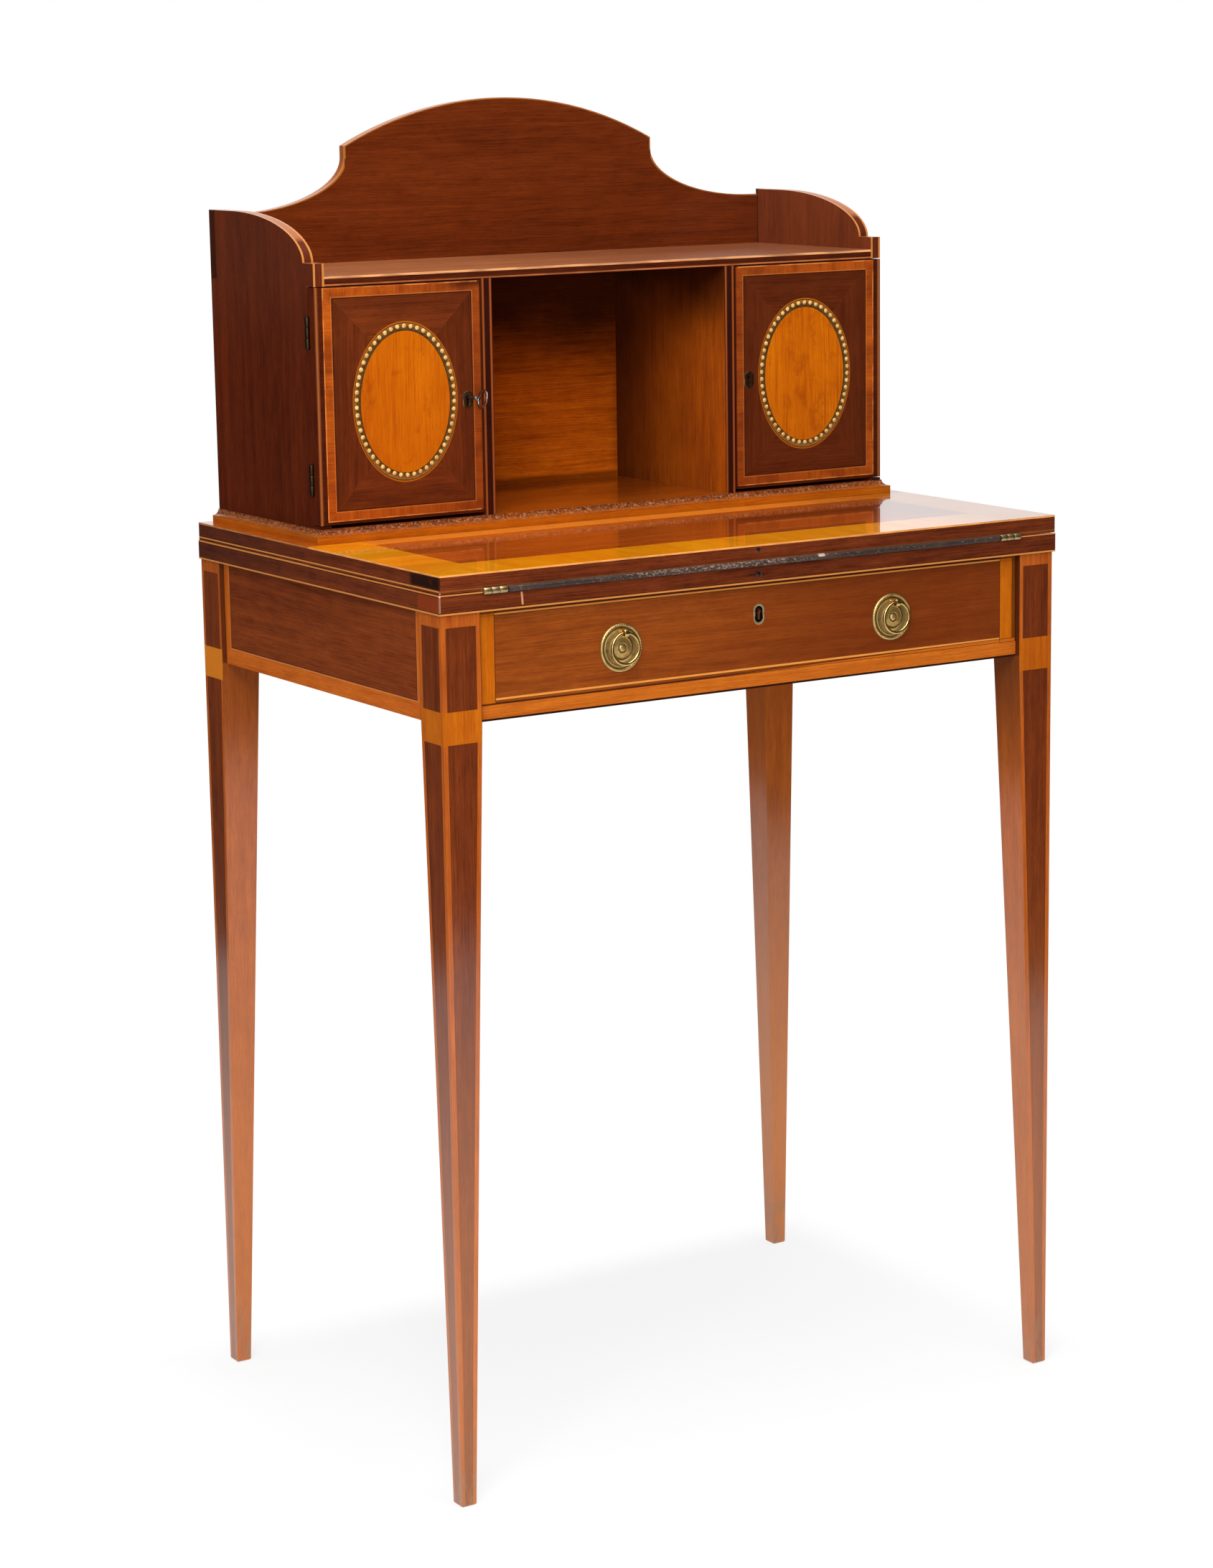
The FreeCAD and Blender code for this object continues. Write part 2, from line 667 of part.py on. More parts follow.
def case_back():
    """Back board with hollow shoulders, two ears and a segmental crest."""
    half = case_half - back_rebate
    shoulder_z = case_z0 + shoulder_height
    ear_z = case_z0 + ear_foot
    ear_top = ear_z + ear_height
    crest_z = case_z0 + crest_height
    flat_x = half - shoulder_flat
    run = flat_x - ear_half
    rise = ear_z - shoulder_z
    edges = [line((-half, case_z0), (-half, shoulder_z)),
             line((-half, shoulder_z), (-flat_x, shoulder_z)),
             ellipse_arc((-flat_x, ear_z), run, rise, 270, 360),
             line((-ear_half, ear_z), (-ear_half, ear_top)),
             arc((-ear_half, ear_top), (0, crest_z), (ear_half, ear_top)),
             line((ear_half, ear_top), (ear_half, ear_z)),
             ellipse_arc((flat_x, ear_z), run, rise, 180, 270),
             line((flat_x, shoulder_z), (half, shoulder_z)),
             line((half, shoulder_z), (half, case_z0)),
             line((half, case_z0), (-half, case_z0))]
    board = stand_in_xz(face_of(edges)).extrude(Vec(0, back_thickness, 0))
    board.translate(Vec(0, back_board_front, 0))
    return board


def divider_tongue(side, z0, z1):
    """Tongue of a divider in the floor or the shelf."""
    return box(side * (divider_inner + housing_depth), side * (divider_outer - housing_depth),
               case_front + post_depth, back_board_front, z0, z1)


def divider(side):
    board = box(side * divider_inner, side * divider_outer, case_front, back_board_front, floor_z1, shelf_z0)
    board = board.fuse([divider_tongue(side, floor_z1 - housing_depth, floor_z1),
                        divider_tongue(side, shelf_z0, shelf_z0 + housing_depth)]).removeSplitter()
    return board.cut(door_bolt_box(side, 2 * bolt_gap, bolt_throw + bolt_gap))


def case_floor():
    board = box(-case_inner, case_inner, case_front, back_board_front, case_z0, floor_z1)
    return board.cut([divider_tongue(side, floor_z1 - housing_depth, floor_z1) for side in (-1, 1)])


def top_shelf():
    board = box(-case_inner, case_inner, case_front, back_board_front, shelf_z0, shelf_z1)
    board = board.fuse([shelf_tongue(-1), shelf_tongue(1)]).removeSplitter()
    return board.cut([divider_tongue(side, shelf_z0, shelf_z0 + housing_depth) for side in (-1, 1)])


# ------------------------------------------------------------------ keyholes, locks, bolts and key
def keyhole(x, z, y0, y1):
    """Round hole with a slot below it, through a board from y0 to y1."""
    hole = rod(keyhole_radius, Vec(x, y0, z), Vec(x, y1, z))
    half = keyhole_slot / 2
    slot = box(x - half, x + half, y0, y1, z - keyhole_drop, z)
    return hole.fuse(slot)


def escutcheon_blank(x, z, width, height, y0, y1):
    """Round-ended plate of a keyhole escutcheon, with its middle at the keyhole's middle."""
    radius = width / 2
    middle = z - keyhole_drop / 2 + keyhole_radius / 2
    lift = (height - width) / 2
    ends = [rod(radius, Vec(x, y0, middle + s * lift), Vec(x, y1, middle + s * lift)) for s in (-1, 1)]
    body = box(x - radius, x + radius, y0, y1, middle - lift, middle + lift)
    return body.fuse(ends).removeSplitter()


def escutcheon(x, z, width, height, face):
    y1 = face - escutcheon_stand + escutcheon_thickness
    plate = escutcheon_blank(x, z, width, height, face - escutcheon_stand, y1)
    return plate.cut(keyhole(x, z, face - 1, y1 + 1))


def escutcheon_seat(x, z, width, height, face):
    return escutcheon_blank(x, z, width, height, face - 1, face - escutcheon_stand + escutcheon_thickness)


def door_bolt_box(side, grow, throw):
    """Place of a door's bolt, above the key, with its throw towards the divider."""
    z0 = door_key_z + key_room + 2 * bolt_gap
    y0 = door_back + (door_lock_thickness - bolt_thickness) / 2
    x0 = door_free_edge + door_lock_width - 3
    x1 = door_free_edge + bolt_gap - throw
    return box(side * (x0 + grow), side * (x1 - grow / 2), y0 - grow, y0 + bolt_thickness + grow,
               z0 - grow, z0 + bolt_height + grow)


def door_bolt(side):
    return door_bolt_box(side, 0, 0)


def lock_room(x, z, y0, y1):
    """Room inside a lock in which the key's bit turns."""
    return box(x - key_room, x + key_room, y0, y1, z - key_room, z + key_room)


def lock_slot(x, z, y0, y1):
    """Upright slot for the key in a lock's front plate."""
    return box(x - keyhole_radius, x + keyhole_radius, y0, y1, z - keyhole_drop, z + keyhole_radius)


def door_lock(side):
    """Lock case on the inner face of a door, with a keyhole in front and room for the key and bolt."""
    x1 = door_free_edge + door_lock_width
    x0 = door_free_edge + bolt_gap
    z0 = door_key_z - door_lock_height / 2
    case = box(side * x0, side * x1, door_back, door_back + door_lock_thickness, z0, z0 + door_lock_height)
    y0 = door_back + lock_plate
    y1 = door_back + door_lock_thickness - lock_plate
    x = side * door_key_x
    return case.cut([lock_room(x, door_key_z, y0, y1), lock_slot(x, door_key_z, door_back - 1, y0 + 1),
                     door_bolt_box(side, bolt_gap, 0)])


def drawer_bolt_box(grow, z_low, z_high):
    """Upright place of the drawer's bolt, behind the drawer front's upper edge."""
    half = bolt_height + grow
    y0 = drawer_y1 - drawer_lock_recess + (drawer_lock_thickness - bolt_thickness) / 2
    return box(-half, half, y0 - grow, y0 + bolt_thickness + grow, z_low, z_high)


def drawer_lock_box(grow):
    z0 = drawer_key_z - key_room - 3
    y0 = drawer_y1 - drawer_lock_recess
    half = drawer_lock_width / 2 + grow
    return box(-half, half, y0, y0 + drawer_lock_thickness, z0 - grow, drawer_z1 + grow)


def drawer_lock():
    y0 = drawer_y1 - drawer_lock_recess + lock_plate
    y1 = y0 + drawer_lock_thickness - 2 * lock_plate
    way = drawer_bolt_box(bolt_gap, drawer_key_z + key_room + bolt_gap, drawer_z1 + 1)
    return drawer_lock_box(0).cut([lock_room(0, drawer_key_z, y0, y1),
                                   lock_slot(0, drawer_key_z, drawer_y0, y0 + 1), way])


def drawer_bolt():
    return drawer_bolt_box(0, drawer_key_z + key_room + 2 * bolt_gap, drawer_z1)


def door_key():
    """Key in the left door: bow outside, bit hanging down inside the lock."""
    x = -door_key_x
    z = door_key_z
    tip = door_back + door_lock_thickness - lock_plate - 2 * bolt_gap
    bow_y = case_front - key_stand
    shank = rod(key_shank_radius, Vec(x, bow_y, z), Vec(x, tip, z))
    bit_y0 = door_back + lock_plate + 2 * bolt_gap
    half = key_bit_width / 2
    bit = box(x - half, x + half, bit_y0, tip - bolt_gap, z - key_bit_reach, z)
    wide = key_bow_reach / 2
    high = key_bow_height / 2
    rim = 2 * key_bow_wire
    outer = Part.Face(Part.Wire(ellipse_arc((0, 0), wide, high, 0, 360)))
    inner = Part.Face(Part.Wire(ellipse_arc((0, 0), wide - rim, high - rim, 0, 360)))
    flat = outer.cut(inner).extrude(Vec(0, 0, rim))
    origin = Vec(x - key_bow_wire, bow_y - wide + key_bow_wire, z)
    bow = place(flat, Vec(0, 1, 0), Vec(0, 0, 1), Vec(1, 0, 0), origin)
    return bow.fuse([shank, bit]).removeSplitter()


# ------------------------------------------------------------------ doors
def oval_face(shrink):
    outline = ellipse_arc((0, 0), oval_half_width - shrink, oval_half_height - shrink, 0, 360)
    return stand_in_xz(Part.Face(Part.Wire(outline)))


def oval_slab(side, shrink, y0, y1):
    slab = oval_face(shrink).extrude(Vec(0, y1 - y0, 0))
    slab.translate(Vec(side * oval_x, y0, oval_z))
    return slab


def door(side):
    """Flush door, sunk for its oval panel, escutcheon and hinge leaves."""
    board = box(side * door_free_edge, side * case_half, case_front, door_back, door_z0, door_z1)
    x = side * door_key_x
    cuts = door_hinge_gains(side, False)
    cuts.append(oval_slab(side, 0, case_front - 1, case_front + oval_depth))
    cuts.append(keyhole(x, door_key_z, case_front - 1, door_back + 1))
    cuts.append(escutcheon_seat(x, door_key_z, door_escutcheon_width, door_escutcheon_height, case_front))
    return board.cut(cuts)


def door_oval(side):
    """Satinwood oval, flush with the door's face."""
    return oval_slab(side, bead_band + oval_gap, case_front, case_front + oval_depth)


def bead_slab(side, shrink, y0, y1):
    """Oval slab with one flat for each bead."""
    points = []
    for i in range(bead_count):
        turn = 2 * math.pi * i / bead_count
        x = side * oval_x + (oval_half_width - shrink) * math.cos(turn)
        points.append(Vec(x, y0, oval_z + (oval_half_height - shrink) * math.sin(turn)))
    return prism(points, Vec(0, y1 - y0, 0))


def bead_ring(side):
    """Raised oval band of beads round the panel."""
    y0 = case_front - bead_rise
    y1 = case_front + oval_depth
    return bead_slab(side, inlay_gap, y0, y1).cut(bead_slab(side, bead_band, y0 - 1, y1 + 1))


# ------------------------------------------------------------------ drawer
def tails(side):
    """Dovetails of a drawer side, widest inside the drawer front."""
    pitch = (drawer_side_z1 - drawer_z0) / drawer_tails
    spread = (drawer_front_thickness - drawer_lap) * dovetail_slope
    wide = pitch * 0.36
    found = []
    for row in range(drawer_tails):
        middle = drawer_z0 + pitch * (row + 0.5)
        tip_y = drawer_y0 + drawer_lap
        points = [(drawer_y1, middle - wide), (tip_y, middle - wide - spread),
                  (tip_y, middle + wide + spread), (drawer_y1, middle + wide)]
        x0 = side * drawer_half
        found.append(prism([Vec(x0, y, z) for y, z in points], Vec(-side * drawer_side_thickness, 0, 0)))
    return found


def bottom_panel():
    half = drawer_half - drawer_side_thickness + drawer_groove
    return box(-half, half, drawer_y1 - drawer_groove, drawer_back_y, bottom_z0, bottom_z1)


def drawer_back():
    half = drawer_half - drawer_side_thickness + drawer_groove
    y1 = drawer_back_y - drawer_back_thickness
    return box(-half, half, y1 - drawer_back_thickness, y1, bottom_z1, drawer_side_z1 - drawer_gap)


def drawer_side(side):
    inner = drawer_half - drawer_side_thickness
    board = box(side * inner, side * drawer_half, drawer_y1, drawer_back_y, drawer_z0, drawer_side_z1)
    board = board.fuse(tails(side)).removeSplitter()
    return board.cut([bottom_panel(), drawer_back()])


def pull_places():
    return [-pull_centre_x, pull_centre_x]


def stem_hole(x, grow):
    start = Vec(x, drawer_y0 - pull_eye_stand, pull_eye_z)
    return rod(pull_stem_radius + grow, start, Vec(x, drawer_y1 + 1, pull_eye_z))


def drawer_front():
    board = box(-drawer_half, drawer_half, drawer_y0, drawer_y1, drawer_z0, drawer_z1)
    cuts = tails(-1) + tails(1)
    cuts += [stem_hole(x, inlay_gap) for x in pull_places()]
    cuts.append(bottom_panel())
    cuts.append(drawer_lock_box(inlay_gap))
    cuts.append(keyhole(0, drawer_key_z, drawer_y0 - 1, drawer_y1))
    width = drawer_escutcheon_width
    cuts.append(escutcheon_seat(0, drawer_key_z, width, drawer_escutcheon_height, drawer_y0))
    return board.cut(cuts)


# ------------------------------------------------------------------ ring pulls
def pull_backplate(x):
    """Turned backplate: bevelled rim, groove, broad step and a coned boss."""
    r = pull_plate_radius
    groove = r - pull_rim_width
    foot = pull_boss_radius
    edges = [line((0, 0), (r, 0)),
             line((r, 0), (r - pull_rim_width / 2, pull_rim_height)),
             line((r - pull_rim_width / 2, pull_rim_height), (groove, pull_plate_thickness)),
             line((groove, pull_plate_thickness), (foot, pull_step_height)),
             line((foot, pull_step_height), (foot / 2, pull_boss_height)),
             line((foot / 2, pull_boss_height), (0, pull_boss_height)),
             line((0, pull_boss_height), (0, 0))]
    turned = face_of(edges).revolve(Vec(0, 0, 0), Vec(0, 1, 0), 360)
    placed = place(turned, Vec(1, 0, 0), Vec(0, -1, 0), Vec(0, 0, -1), Vec(x, drawer_y0, pull_centre_z))
    return placed.cut(stem_hole(x, inlay_gap))


def pull_post(x):
    """Stem through the drawer front with a flat eye outside, which the ring hangs in."""
    tip_y = drawer_y1 + pull_nut_thickness
    centre = Vec(x, pull_eye_y, pull_eye_z)
    stem = rod(pull_stem_radius, centre, Vec(x, tip_y, pull_eye_z))
    half = Vec(pull_eye_thickness / 2, 0, 0)
    head = rod(pull_head_radius, centre - half, centre + half)
    eye = rod(pull_eye_radius, centre - 2 * half, centre + 2 * half)
    return stem.fuse(head).removeSplitter().cut(eye)


def pull_nut(x):
    """Square nut on the stem, against the inside of the drawer front."""
    half = pull_nut_size / 2
    y1 = drawer_y1 + pull_nut_thickness
    nut = box(x - half, x + half, drawer_y1, y1, pull_eye_z - half, pull_eye_z + half)
    return nut.cut(rod(pull_stem_radius, Vec(x, drawer_y1 - 1, pull_eye_z), Vec(x, y1 + 1, pull_eye_z)))


def ring_section(turn):
    """Section of the ring's wire, at one place round the ring."""
    corners = []
    for i in range(ring_wire_sides):
        around = 2 * math.pi * (i + 0.5) / ring_wire_sides
        reach = pull_ring_radius + pull_wire_radius * math.cos(around)
        corners.append(Vec(reach * math.cos(turn), pull_wire_radius * math.sin(around), reach * math.sin(turn)))
    return Part.makePolygon(corners + [corners[0]])


def pull_ring(x):
    """Ring that hangs in the eye, in short straight lengths."""
    step = 2 * math.pi / ring_lengths
    lengths = [Part.makeLoft([ring_section(i * step), ring_section((i + 1) * step)], True, True)
               for i in range(ring_lengths)]
    ring = lengths[0].fuse(lengths[1:]).removeSplitter()
    ring.translate(Vec(x, pull_eye_y, pull_centre_z))
    return ring


# ------------------------------------------------------------------ write every piece
def save_table():
    for side in (-1, 1):
        save("leg_front_" + side_name(side), leg(side, -1))
        save("leg_back_" + side_name(side), leg(side, 1))
        save("side_frieze_" + side_name(side), side_frieze(side))
    save("back_rail", back_rail())
    save("front_rail", front_rail())
    save("drawer_runners", drawer_runner(-1), drawer_runner(1))
    save("drawer_kickers", drawer_kicker(-1), drawer_kicker(1))
    save("drawer_stops", drawer_stop(-1), drawer_stop(1))
    save("glue_blocks", *[glue_block(place * glue_block_spacing) for place in (-1, 0, 1)])


def save_top():
    save("fixed_top", fixed_top())
    save("writing_flap", writing_flap())
    save("plinth_board", plinth_board())
    save("top_leather", leather_outline(top_z1 - leather_thickness, top_z1))
    save("flap_leather", leather_outline(flap_z0, flap_z0 + leather_thickness))
    save("leather_fold", leather_fold())
    save("top_edge_screw", edge_screw(top_screw_z))
    save("flap_edge_screw", edge_screw(flap_screw_z))
    pairs = [flap_hinge(-1), flap_hinge(1)]
    save("flap_hinge_fixed_leaves", *[fixed for fixed, moving in pairs])
    save("flap_hinge_moving_leaves", *[moving for fixed, moving in pairs])


def save_cabinet():
    save("base_moulding_front", base_moulding_front())
    save("base_moulding_returns", base_moulding_return(-1), base_moulding_return(1))
    save("case_back", case_back())
    save("case_floor", case_floor())
    save("top_shelf", top_shelf())
    for side in (-1, 1):
        save("case_side_" + side_name(side), case_side(side))
        save("divider_" + side_name(side), divider(side))


def save_doors():
    for side in (-1, 1):
        name = "door_" + side_name(side)
        save(name, door(side))
        save(name + "_oval", door_oval(side))
        save(name + "_bead_ring", bead_ring(side))
        save(name + "_escutcheon", escutcheon(side * door_key_x, door_key_z, door_escutcheon_width,
                                              door_escutcheon_height, case_front))
        save(name + "_lock", door_lock(side))
        save(name + "_bolt", door_bolt(side))
        pairs = [door_hinge(side, z) for z in door_hinge_heights()]
        save(name + "_hinge_case_leaves", *[fixed for fixed, moving in pairs])
        save(name + "_hinge_leaves", *[moving for fixed, moving in pairs])
    save("door_key", door_key())


def save_drawer():
    save("drawer_front", drawer_front())
    save("drawer_side_left", drawer_side(-1))
    save("drawer_side_right", drawer_side(1))
    save("drawer_back", drawer_back())
    save("drawer_bottom", bottom_panel())
    save("drawer_escutcheon", escutcheon(0, drawer_key_z, drawer_escutcheon_width,
                                         drawer_escutcheon_height, drawer_y0))
    save("drawer_lock", drawer_lock())
    save("drawer_bolt", drawer_bolt())
    save("pull_backplates", *[pull_backplate(x) for x in pull_places()])
    save("pull_posts", *([pull_post(x) for x in pull_places()] + [pull_nut(x) for x in pull_places()]))
    save("pull_ring_left", pull_ring(-pull_centre_x))
    save("pull_ring_right", pull_ring(pull_centre_x))


os.makedirs("parts", exist_ok=True)
save_table()
save_top()
save_cabinet()
save_doors()
save_drawer()
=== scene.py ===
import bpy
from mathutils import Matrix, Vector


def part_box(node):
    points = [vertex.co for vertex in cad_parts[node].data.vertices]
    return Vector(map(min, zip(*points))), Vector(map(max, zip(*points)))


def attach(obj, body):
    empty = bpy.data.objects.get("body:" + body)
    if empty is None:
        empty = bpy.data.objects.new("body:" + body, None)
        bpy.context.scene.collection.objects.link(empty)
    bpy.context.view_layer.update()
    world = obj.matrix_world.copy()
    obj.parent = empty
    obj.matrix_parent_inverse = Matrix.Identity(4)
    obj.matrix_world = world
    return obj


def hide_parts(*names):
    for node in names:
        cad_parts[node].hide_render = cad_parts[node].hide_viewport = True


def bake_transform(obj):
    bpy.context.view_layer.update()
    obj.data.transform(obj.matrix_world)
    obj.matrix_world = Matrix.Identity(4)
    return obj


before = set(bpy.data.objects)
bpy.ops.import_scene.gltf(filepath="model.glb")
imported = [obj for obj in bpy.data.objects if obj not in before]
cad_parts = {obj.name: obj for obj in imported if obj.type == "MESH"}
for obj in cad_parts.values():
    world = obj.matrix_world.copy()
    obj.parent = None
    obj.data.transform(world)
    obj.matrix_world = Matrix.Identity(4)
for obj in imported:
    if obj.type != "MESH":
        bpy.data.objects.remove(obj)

from types import SimpleNamespace

import bmesh
import bpy
import numpy as np
from bpy.props import FloatProperty, FloatVectorProperty, IntProperty, PointerProperty
from mathutils import Matrix

bl_info = {
    "name": "Bonheur du jour",
    "version": (1, 0, 0),
    "blender": (4, 5, 0),
    "location": "3D View > Sidebar > Desk",
    "description": "Veneers, inlays, fittings and leather of a small fold-top writing desk",
    "category": "Object",
}

MM = 0.001
SIDES = {"left": -1, "right": 1}


# ------------------------------------------------------------------ measures
def limits(node):
    """Lowest and highest corner of a wooden or metal part, in millimetres."""
    low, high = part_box(node)
    return np.array(low) / MM, np.array(high) / MM


LEG_LOW, LEG_HIGH = limits("leg_front_left")
BACK_LEG_LOW, BACK_LEG_HIGH = limits("leg_back_left")
FRIEZE_LOW = limits("side_frieze_left")[0]
TOP_LOW, TOP_HIGH = limits("fixed_top")
FLAP_LOW, FLAP_HIGH = limits("writing_flap")
LEATHER_LOW, LEATHER_HIGH = limits("top_leather")
FOLD_LOW, FOLD_HIGH = limits("leather_fold")
DRAWER_LOW, DRAWER_HIGH = limits("drawer_front")
CASE_LOW, CASE_HIGH = limits("case_side_left")
BACK_LOW, BACK_HIGH = limits("case_back")
SHELF_LOW, SHELF_HIGH = limits("top_shelf")
DIVIDER_LOW, DIVIDER_HIGH = limits("divider_right")
DOOR_LOW, DOOR_HIGH = limits("door_right")
OVAL_LOW, OVAL_HIGH = limits("door_right_oval")
BEADS_LOW, BEADS_HIGH = limits("door_right_bead_ring")
MOULDING_HIGH = limits("base_moulding_front")[1]
PLATES_LOW, PLATES_HIGH = limits("pull_backplates")
KEY_LOW, KEY_HIGH = limits("door_key")

OVAL_MIDDLE = (OVAL_LOW + OVAL_HIGH) / 2
PLATE_RADIUS = (PLATES_HIGH[2] - PLATES_LOW[2]) / 2
PLATE_X = PLATES_HIGH[0] - PLATE_RADIUS
PLATE_Z = (PLATES_HIGH[2] + PLATES_LOW[2]) / 2
FLAP_PIN_Y = FOLD_HIGH[1]
FLAP_PIN_Z = (FOLD_LOW[2] + FOLD_HIGH[2]) / 2

LEG_FOOT = 13.5             # square foot of a leg
CREST_RISE = 38.2           # of the back board's arched crest over the ears
EAR_HALF = 157.0            # from the middle of the back board to an ear's outer side
EAR_HEIGHT = 9.8
SHOULDER_RISE = 45.0        # of a hollow shoulder, up to the ear's foot
SHOULDER_RUN = 110.0
SHOULDER_END = 267.0        # from the middle to where the shoulder turns level
SHOULDER_REACH = 62.0       # mean half axis of the hollow, which turns its share into a length
OVAL_REACH = 57.0           # mean half axis of a bead ring, for the same use
PULL_RING_RADIUS = 12.6
PULL_EYE_STAND = 7.5        # of the rings and eyes before the drawer's face
KEYHOLE_LIFT = 2.4          # of the round part's middle over the plate's
KEYHOLE_SHIFT = 1.5         # from the round part's middle down to the middle of the outlines


def paint(red, green, blue):
    """Linear colour of display values from 0 to 255."""
    share = np.array([red, green, blue]) / 255
    linear = np.where(share <= 0.04045, share / 12.92, ((share + 0.055) / 1.055) ** 2.4)
    return (*map(float, linear), 1.0)


def tints(**values):
    """Colours by name, from display values."""
    return SimpleNamespace(**{name: paint(*value) for name, value in values.items()})


def colour(name, description, red, green, blue):
    return FloatVectorProperty(name=name, description=description, subtype="COLOR", size=4, min=0, max=1,
                               default=paint(red, green, blue))


def length(name, description, default, low=0.1, high=200.0):
    return FloatProperty(name=name, description=description + ", in millimetres", default=default,
                         min=low, max=high, unit="NONE")


class DeskWoods(bpy.types.PropertyGroup):
    """Colours of the woods, each from its dark fibres to its light ones."""

    mahogany_dark: colour("Mahogany, dark", "Dark fibres of the fields and panels", 83, 31, 9)
    mahogany_light: colour("Mahogany, light", "Light fibres of the fields and panels", 143, 66, 23)
    case_dark: colour("Case, dark", "Dark fibres of the cabinet's side boards and the leaf edges", 51, 14, 4)
    case_light: colour("Case, light", "Light fibres of the cabinet's side boards", 102, 37, 10)
    satin_dark: colour("Satinwood, dark", "Dark fibres of the bands and borders", 152, 64, 2)
    satin_light: colour("Satinwood, light", "Light fibres of the bands and borders", 198, 108, 9)
    cross_dark: colour("Crossband, dark", "Dark fibres of the doors' crossbanding", 135, 51, 9)
    cross_light: colour("Crossband, light", "Light fibres of the doors' crossbanding", 194, 96, 22)
    oak_dark: colour("Oak, dark", "Dark fibres of the drawer linings and the frame inside", 112, 74, 40)
    oak_light: colour("Oak, light", "Light fibres of the drawer linings and the frame inside", 168, 122, 74)
    string: colour("Stringing", "Pale boxwood lines on the edges", 194, 124, 60)
    joint_line: colour("Joint", "Dark glue lines and shadowed joints", 38, 14, 7)


class DeskInlays(bpy.types.PropertyGroup):
    """Widths of the flush bands and lines."""

    string: length("String", "Width of a boxwood line", 1.0, 0.3, 6)
    leg_border: length("Leg border", "Satinwood border along the legs' arrises", 4.5, 1, 12)
    cuff_top: length("Cuff top", "Height of the legs' cuffs at their top", 653.0, 100, 720)
    cuff_bottom: length("Cuff bottom", "Height of the legs' cuffs at their bottom", 626.0, 100, 720)
    leg_head: length("Leg head", "Height of the legs' frieze panels at their top", 718.0, 100, 728)
    frieze_stile: length("Frieze stile", "Upright bands at the ends of the side friezes", 11.5, 1, 40)
    frieze_foot: length("Frieze foot", "Band along the lower edge of the side friezes", 15.0, 1, 40)
    drawer_end: length("Drawer ends", "Upright bands at the ends of the drawer front", 14.6, 1, 60)
    top_side: length("Top, sides", "Crossbanding at the ends of the top", 49.0, 5, 120)
    top_front: length("Top, front", "Crossbanding along the front of the top", 54.0, 5, 120)
    flap_back: length("Flap, back", "Crossbanding along the back of the flap", 25.0, 5, 120)
    door_post: length("Door post", "Dark strip of a door that lies over the side board", 7.5, 1, 30)
    door_foot: length("Door foot", "Dark strip along the lower edge of a door", 2.4, 0.5, 20)
    door_band: length("Door band", "Crossbanding round a door", 8.4, 1, 30)


class DeskFittings(bpy.types.PropertyGroup):
    """Brass, steel, beads and leather."""

    brass: colour("Brass", "Brass of the pulls", 224, 188, 116)
    brass_dull: colour("Brass, dull", "Tarnish in the hollows of the brass", 86, 62, 30)
    steel: colour("Steel", "Key, bolts and screws", 132, 118, 116)
    bead: colour("Beads", "Beads round the door ovals", 226, 188, 116)
    leather: colour("Leather", "Writing leather", 58, 36, 26)
    leather_worn: colour("Leather, worn", "Rubbed leather", 92, 72, 60)
    gilding: colour("Gilding", "Tooled line in the writing leather", 186, 140, 62)
    bead_count: IntProperty(name="Beads", description="Beads round each oval", default=54, min=12, max=120)
    rim_beads: IntProperty(name="Rim beads", description="Beads in the rim of a backplate", default=56,
                           min=12, max=120)
    wire: length("Ring wire", "Radius of the hanging rings' wire", 1.5, 0.4, 3)


class DeskStudio(bpy.types.PropertyGroup):
    """Camera, floor and lights."""

    lens: FloatProperty(name="Lens", description="Focal length for a 36 mm high frame", default=83.83, min=20,
                        max=300, unit="CAMERA")
    key: FloatProperty(name="Key light", description="Power of the lamp high up in front", default=62.0,
                       min=0, unit="POWER")
    low: FloatProperty(name="Low light", description="Power of the lamp low down in front", default=18.0,
                       min=0, unit="POWER")
    top: FloatProperty(name="Top light", description="Power of the lamp overhead", default=60.0, min=0,
                       unit="POWER")
    fill: FloatProperty(name="Fill", description="Level of the light from all round", default=0.42, min=0,
                        max=2)
    wall: FloatProperty(name="Wall", description="Level of the bright wall that polished faces reflect",
                        default=1.04, min=0, max=4)
    floor: colour("Floor", "Pale floor", 246, 246, 246)


# ------------------------------------------------------------------ node trees
class Reading:
    """A value at every point of a surface. Arithmetic on it adds Math nodes to its tree."""

    def __init__(self, net, socket):
        self.net = net
        self.socket = socket

    def __add__(self, other):
        return self.net.math("ADD", self, other)

    def __sub__(self, other):
        return self.net.math("SUBTRACT", self, other)

    def __neg__(self):
        return self.net.math("MULTIPLY", self, -1.0)

    def __rsub__(self, other):
        return self.net.math("SUBTRACT", other, self)

    def __mul__(self, other):
        return self.net.math("MULTIPLY", self, other)

    def __truediv__(self, other):
        return self.net.math("DIVIDE", self, other)

    def __abs__(self):
        return self.net.math("ABSOLUTE", self)

    __radd__ = __add__
    __rmul__ = __mul__


def feed(tree, node, inputs):
    """Sets a node's inputs to values, or joins them to readings and shaders."""
    for name, value in inputs.items():
        if isinstance(value, Reading):
            value = value.socket
        if isinstance(value, bpy.types.NodeSocket):
            tree.links.new(value, node.inputs[name])
        else:
            node.inputs[name].default_value = value


